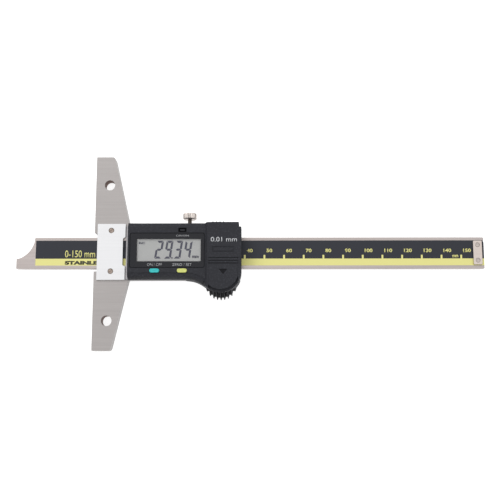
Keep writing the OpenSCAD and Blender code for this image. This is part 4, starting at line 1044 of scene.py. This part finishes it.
class GAUGE_OT_keys(bpy.types.Operator):
    """Make the two domed, dimpled keys and finish the recessed one, with painted shade on its low faces"""
    bl_idname = "gauge.keys"
    bl_label = "Keys"

    def execute(self, context):
        look = context.scene.gauge_keys
        shell = context.scene.gauge_plastic
        bright = dict(shade=0.04, bump=0.1, Specular_IOR_Level=0.22)
        teal = plastic("Teal Key", look.teal_colour, 0.42, **bright)
        yellow = plastic("Yellow Key", look.yellow_colour, 0.42, **bright)
        grey = plastic("Grey Key", shell.housing_colour, 0.45)
        self.key("on_off_key", "on_off_button", "on_off", "button_teal", teal, look)
        self.key("zero_key", "zero_button", "zero", "button_yellow", yellow, look)
        origin_edge, sunk = 0.15 * MM, 0.3 * MM
        origin = dress("origin_key", "origin_button", "origin", "key_grey", grey, origin_edge)
        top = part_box("origin_button")[1].z
        # Painted shade: the origin key's faces below its top, down in its recess, get the darkened plastic
        repaint(origin, recess(), lambda centre, normal: centre.z < top - sunk)
        return {"FINISHED"}

    def key(self, name, node, body, slot, finish, look):
        """A pill shaped key: a flange below, then straight sides, a rounded crown and two dimples."""
        low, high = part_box(node)
        centre = (low + high) / 2
        lap, side_lap, flange_t = 0.5 * MM, 0.25 * MM, 0.6 * MM
        length = high.x - low.x - 2 * lap
        width = high.y - low.y - 2 * side_lap
        long_flange, wide_flange = high.x - low.x, high.y - low.y
        rings = [(0.0, long_flange, wide_flange, low.z),
                 (0.0, long_flange, wide_flange, low.z + flange_t),
                 (0.0, length, width, low.z + flange_t)]
        rings += self.rounded_top(length, width, high.z, look.crown)
        work = bmesh.new()
        loops = [self.pill(work, centre, *ring) for ring in rings]
        for lower, upper in zip(loops, loops[1:]):
            for here in range(len(lower)):
                there = (here + 1) % len(lower)
                work.faces.new((lower[here], lower[there], upper[there], upper[here]))
        work.faces.new(list(reversed(loops[0])))
        work.faces.new(loops[-1])
        self.press_dimples(work, centre, length, high.z, look.dimple)
        bmesh.ops.remove_doubles(work, verts=work.verts, dist=MERGE)
        bmesh.ops.recalc_face_normals(work, faces=work.faces[:])
        mesh = bpy.data.meshes.new(name)
        work.to_mesh(mesh)
        work.free()
        smooth(mesh)
        piece(name, mesh, body, slot, finish, node)

    def rounded_top(self, length, width, top, crown):
        """Rings of a key's rounded edge and flat top, each as inset, length, width and height."""
        steps = 5
        rings = []
        for step in range(steps + 1):
            angle = math.pi / 2 * step / steps
            inset = crown * (1 - math.cos(angle))
            rings.append((inset, length, width, top - crown * (1 - math.sin(angle))))
        for share in (0.8, 0.6, 0.4, 0.2, 0.08):
            rings.append((width / 2 - (width / 2 - crown) * share, length, width, top))
        return rings

    def pill(self, work, centre, inset, length, width, z):
        """One closed ring of points round a pill, some of them along its straight sides."""
        half_turn = 12
        radius = width / 2 - inset
        straight = (length - width) / 2
        ring = []
        for side in (1, -1):
            for step in range(half_turn + 1):
                angle = -side * math.pi / 2 + math.pi * step / half_turn
                x = centre.x + side * straight + radius * math.cos(angle)
                y = centre.y + radius * math.sin(angle)
                ring.append(work.verts.new((x, y, z)))
            for share in (0.75, 0.5, 0.25):
                x = centre.x + side * straight * (2 * share - 1)
                ring.append(work.verts.new((x, centre.y + side * radius, z)))
        return ring

    def press_dimples(self, work, centre, length, top, depth):
        """Presses two round dimples in a key's top, a quarter of its length from the middle."""
        dimple_r, skin = 0.6 * MM, 0.01 * MM
        for vert in work.verts:
            if vert.co.z > top - skin:
                for side in (-1, 1):
                    away = math.hypot(vert.co.x - centre.x - side * length / 4, vert.co.y - centre.y)
                    vert.co.z -= depth * math.exp(-(away / dimple_r) ** 2)


class GAUGE_OT_screws(bpy.types.Operator):
    """Grow the slotted screws of the base, the frame, the housing and the stop plate"""
    bl_idname = "gauge.screws"
    bl_label = "Screws"

    def execute(self, context):
        warm = steel("Warm Screw Steel", (0.34, 0.28, 0.245), 0.4)
        zinc = steel("Zinc Screw Steel", (0.38, 0.38, 0.39), 0.35)
        light = steel("Stop Screw Steel", (0.47, 0.42, 0.39), 0.3)
        black = steel("Blackened Steel", (0.08, 0.08, 0.085), 0.45)
        tree = slotted_screw()
        # Head diameter, head height and thread diameter of each kind
        small = (2.7 * MM, 0.7 * MM, 1.6 * MM)
        fine = (2.2 * MM, 0.5 * MM, 1.6 * MM)
        set_screw = (1.6 * MM, 1.2 * MM, 1.58 * MM)
        up, down, side = (0.0, 0.0, 0.0), (math.pi, 0.0, 0.0), (-math.pi / 2, 0.0, 0.0)
        turned = (0.0, 0.0, math.radians(35))
        self.row(tree, "plate_screws", "base_plate_screws", "head", "screw_bronze", warm, small, turned)
        self.row(tree, "joint_screws", "base_joint_screws", "head", "screw_steel", zinc, small, down)
        self.row(tree, "back_plate_screws", "rear_plate_screws", "head", "screw_steel", zinc, small, down)
        self.row(tree, "shell_screws", "housing_screws", "head", "screw_steel", zinc, small, down)
        self.row(tree, "stop_screws", "end_stop_screws", "beam", "stop_steel", light, fine, up)
        self.row(tree, "gib_screws", "gib_set_screws", "head", "black_steel", black, set_screw, side)
        return {"FINISHED"}

    def row(self, tree, name, node, body, slot, finish, sizes, rotation):
        """One group of screws, each on its own solid of the CAD node, head up, down or to the side."""
        look = bpy.context.scene.gauge_hardware
        lean = rotation[0]
        points = []
        for low, high in solids(node):
            centre = (low + high) / 2
            if lean < 0.0:
                points.append((centre.x, high.y, centre.z))
                length = high.y - low.y
            else:
                points.append((centre.x, centre.y, low.z if lean > 0.0 else high.z))
                length = high.z - low.z
        head_d, head_h, thread_d = sizes
        values = {"Head Diameter": head_d, "Head Height": head_h, "Thread Diameter": thread_d,
                  "Length": length, "Slot Width": look.slot_width, "Top Share": look.head_share,
                  "Rotation": rotation, "Finish": finish}
        piece(name, grown(tree, points, values), body, slot, finish, node)


class GAUGE_OT_clamp(bpy.types.Operator):
    """Grow the knurled clamp screw, with painted shade on its stem, and finish its brass pad"""
    bl_idname = "gauge.clamp"
    bl_label = "Clamp screw"

    def execute(self, context):
        look = context.scene.gauge_hardware
        nickel = steel("Knurled Nickel", (0.64, 0.585, 0.55), 0.3, density=2000.0, shade=0.1)
        brass = surface("Brass", (0.60, 0.42, 0.14), 0.3, "lines", 2500.0, Metallic=1.0)
        low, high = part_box("clamp_screw")
        centre = (low + high) / 2
        head_height, stem_d = 3.3 * MM, 2.0 * MM
        bevel, crown, seam = 0.5 * MM, 0.6 * MM, 0.01 * MM
        values = {"Diameter": high.x - low.x, "Height": head_height, "Bevel": bevel, "Crown": crown,
                  "Ridges": look.ridges, "Ridge Depth": look.ridge_depth, "Dish": look.dish,
                  "Stem Diameter": stem_d, "Stem Length": high.y - low.y - head_height,
                  "Rotation": (-math.pi / 2, 0.0, 0.0), "Finish": nickel}
        foot = (centre.x, high.y - head_height, centre.z)
        mesh = grown(knurled_knob(), [foot], values)
        knob = piece("clamp_knob", mesh, "clamp", "knurled_steel", nickel, "clamp_screw")
        # Painted shade: the stem under the knob's head gets a dark steel colour
        dark = steel("Stem Painted Shade", (0.09, 0.075, 0.065), 0.35)
        repaint(knob, dark, lambda centre, normal: centre.y < foot[1] - seam)
        paint("clamp_pad", brass)
        paint("battery_contacts", brass)
        return {"FINISHED"}


class GAUGE_OT_lettering(bpy.types.Operator):
    """Print the scale's numbers, the range, the unit and the words beside the keys"""
    bl_idname = "gauge.lettering"
    bl_label = "Lettering"

    def execute(self, context):
        print_look = context.scene.gauge_scale
        yellow = ink("Yellow Print", print_look.print_colour, 0.5)
        dark = ink("Dark Print", print_look.word_colour, 0.5)
        white = ink("White Print", context.scene.gauge_keys.legend_colour, 0.5)
        segments = ink("Display Segments", context.scene.gauge_display.segment_colour, 0.35)
        self.scale(print_look, yellow, dark)
        self.housing(white)
        self.display(segments)
        return {"FINISHED"}

    def scale(self, look, yellow, dark):
        """The numbers after their marks, the unit at the last one, and the range and word by the tip."""
        print_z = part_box("scale_foil")[1].z + ON_FOIL
        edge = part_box("scale_band")[0].y
        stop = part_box("end_stop")[0].x
        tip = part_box("beam_bar")[0].x
        number_foot, after_mark, number_weight = edge + 6.7 * MM, 1.05 * MM, 0.034
        number_widths = {1: 1.5 * MM, 2: 3.0 * MM, 3: 4.0 * MM}
        lines = []
        for number in range(0, look.last_number + 1, look.mark_step):
            x = tip + look.first_mark + number * MM + after_mark
            width = number_widths[len(str(number))]
            if x + width < stop:
                lines.append((str(number), x, number_foot, look.number_height, "LEFT", width,
                              number_weight))
        unit_x = tip + look.first_mark + look.last_number * MM - 1.5 * MM
        lines.append(("mm", unit_x, edge + 4.05 * MM, 1.3 * MM, "RIGHT", 3.0 * MM, 0.035))
        range_x = tip + 24.7 * MM
        lines.append((f"0-{look.last_number} mm", range_x, edge + 4.15 * MM, 3.65 * MM, "LEFT",
                      15.4 * MM, 0.008))
        piece("scale_numbers", words(lines, print_z), "beam", "foil_yellow", yellow)
        word = ("STAINLESS", range_x, edge + 0.4 * MM, 2.0 * MM, "LEFT", 21.0 * MM, 0.065)
        piece("band_word", words([word], print_z), "beam", "foil_black", dark)

    def housing(self, white):
        """The words beside the keys and the resolution on the raised section."""
        bezel_low, bezel_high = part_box("display_bezel")
        on_off = middle("on_off_button")
        zero = middle("zero_button")
        below = bezel_low.y + 0.85 * MM
        above = bezel_high.y - 1.7 * MM
        tall, weight, shift = 1.25 * MM, -0.014, 0.1 * MM
        lines = [("ON / OFF", on_off.x + shift, below, tall, "CENTER", 7.4 * MM, weight),
                 ("ZERO / SET", zero.x, below, tall, "CENTER", 9.7 * MM, weight),
                 ("ORIGIN", zero.x + shift, above, 0.8 * MM, "CENTER", 6.2 * MM, weight)]
        piece("key_legends", words(lines, bezel_high.z + ON_PLASTIC), "head", "bezel_black", white)
        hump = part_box("front_housing")[1]
        label = ("0.01 mm", hump.x - 2.15 * MM, 3.75 * MM, 2.35 * MM, "RIGHT", 13.1 * MM, 0.006)
        piece("resolution_label", words([label], hump.z + ON_PLASTIC), "head", "black_plastic", white)

    def display(self, segments):
        """The unit and the mode beside the digits."""
        low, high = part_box("lcd_window")
        weight = 0.05
        lines = [("mm", high.x - 1.0 * MM, low.y + 1.65 * MM, 1.3 * MM, "RIGHT", 3.3 * MM, weight),
                 ("INC", low.x + 0.8 * MM, high.y - 2.65 * MM, 1.25 * MM, "LEFT", 3.1 * MM, weight)]
        mesh = words(lines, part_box("lcd_glass")[1].z + ON_GLASS)
        piece("display_units", mesh, "head", "lcd_grey", segments)


class GAUGE_OT_insides(bpy.types.Operator):
    """Give the pieces inside the housing their finishes"""
    bl_idname = "gauge.insides"
    bl_label = "Insides"

    def execute(self, context):
        green = surface("Board Green", (0.012, 0.105, 0.045), 0.4, "lines", 900.0, shade=0.3)
        chip = surface("Chip Black", (0.014, 0.014, 0.016), 0.5, density=5000.0, shade=-0.3)
        rubber = surface("Zebra Rubber", (0.10, 0.10, 0.12), 0.6, "lines", 5000.0, shade=0.6)
        pad = surface("Pad Rubber", (0.05, 0.05, 0.05), 0.7, density=3000.0, shade=-0.3)
        white = plastic("Holder White", (0.69, 0.69, 0.64), 0.5, shade=0.05)
        cell = steel("Cell Steel", (0.57, 0.57, 0.58), 0.25, density=1800.0, shade=0.08)
        rows = {"circuit_board": green, "detector_board": green, "controller_chip": chip,
                "data_connector": chip, "zebra_strips": rubber, "button_pad": pad,
                "lcd_holder": white, "battery": cell}
        for node, finish in rows.items():
            paint(node, finish)
        return {"FINISHED"}


OPERATORS = (GAUGE_OT_stage, GAUGE_OT_base, GAUGE_OT_slider, GAUGE_OT_beam, GAUGE_OT_housing,
             GAUGE_OT_display, GAUGE_OT_keys, GAUGE_OT_screws, GAUGE_OT_clamp, GAUGE_OT_lettering,
             GAUGE_OT_insides)


class GAUGE_PT_sidebar(bpy.types.Panel):
    """Sidebar tab with the gauge's steps and settings"""
    bl_idname = "GAUGE_PT_sidebar"
    bl_label = "Digital Depth Gauge"
    bl_space_type = "VIEW_3D"
    bl_region_type = "UI"
    bl_category = "Depth Gauge"

    def draw(self, context):
        steps = self.layout.column(align=True)
        for operator in OPERATORS:
            steps.operator(operator.bl_idname)
        for name in SETTINGS:
            group = getattr(context.scene, name)
            box = self.layout.box()
            box.label(text=name.replace("gauge_", "").capitalize())
            for prop in group.bl_rna.properties:
                if prop.identifier not in ("rna_type", "name"):
                    box.prop(group, prop.identifier)


CLASSES = (*SETTINGS.values(), *OPERATORS, GAUGE_PT_sidebar)


def register():
    """Registers the classes and hangs the settings on the scene."""
    for cls in CLASSES:
        bpy.utils.register_class(cls)
    for name, cls in SETTINGS.items():
        setattr(bpy.types.Scene, name, bpy.props.PointerProperty(type=cls))


def unregister():
    """Takes the settings and the classes away again."""
    for name in SETTINGS:
        delattr(bpy.types.Scene, name)
    for cls in reversed(CLASSES):
        bpy.utils.unregister_class(cls)


def main():
    """Builds the stage and every piece."""
    register()
    bpy.ops.gauge.stage()
    bpy.ops.gauge.base()
    bpy.ops.gauge.slider()
    bpy.ops.gauge.beam()
    bpy.ops.gauge.housing()
    bpy.ops.gauge.display()
    bpy.ops.gauge.keys()
    bpy.ops.gauge.screws()
    bpy.ops.gauge.clamp()
    bpy.ops.gauge.lettering()
    bpy.ops.gauge.insides()


if __name__ == "__main__":
    main()
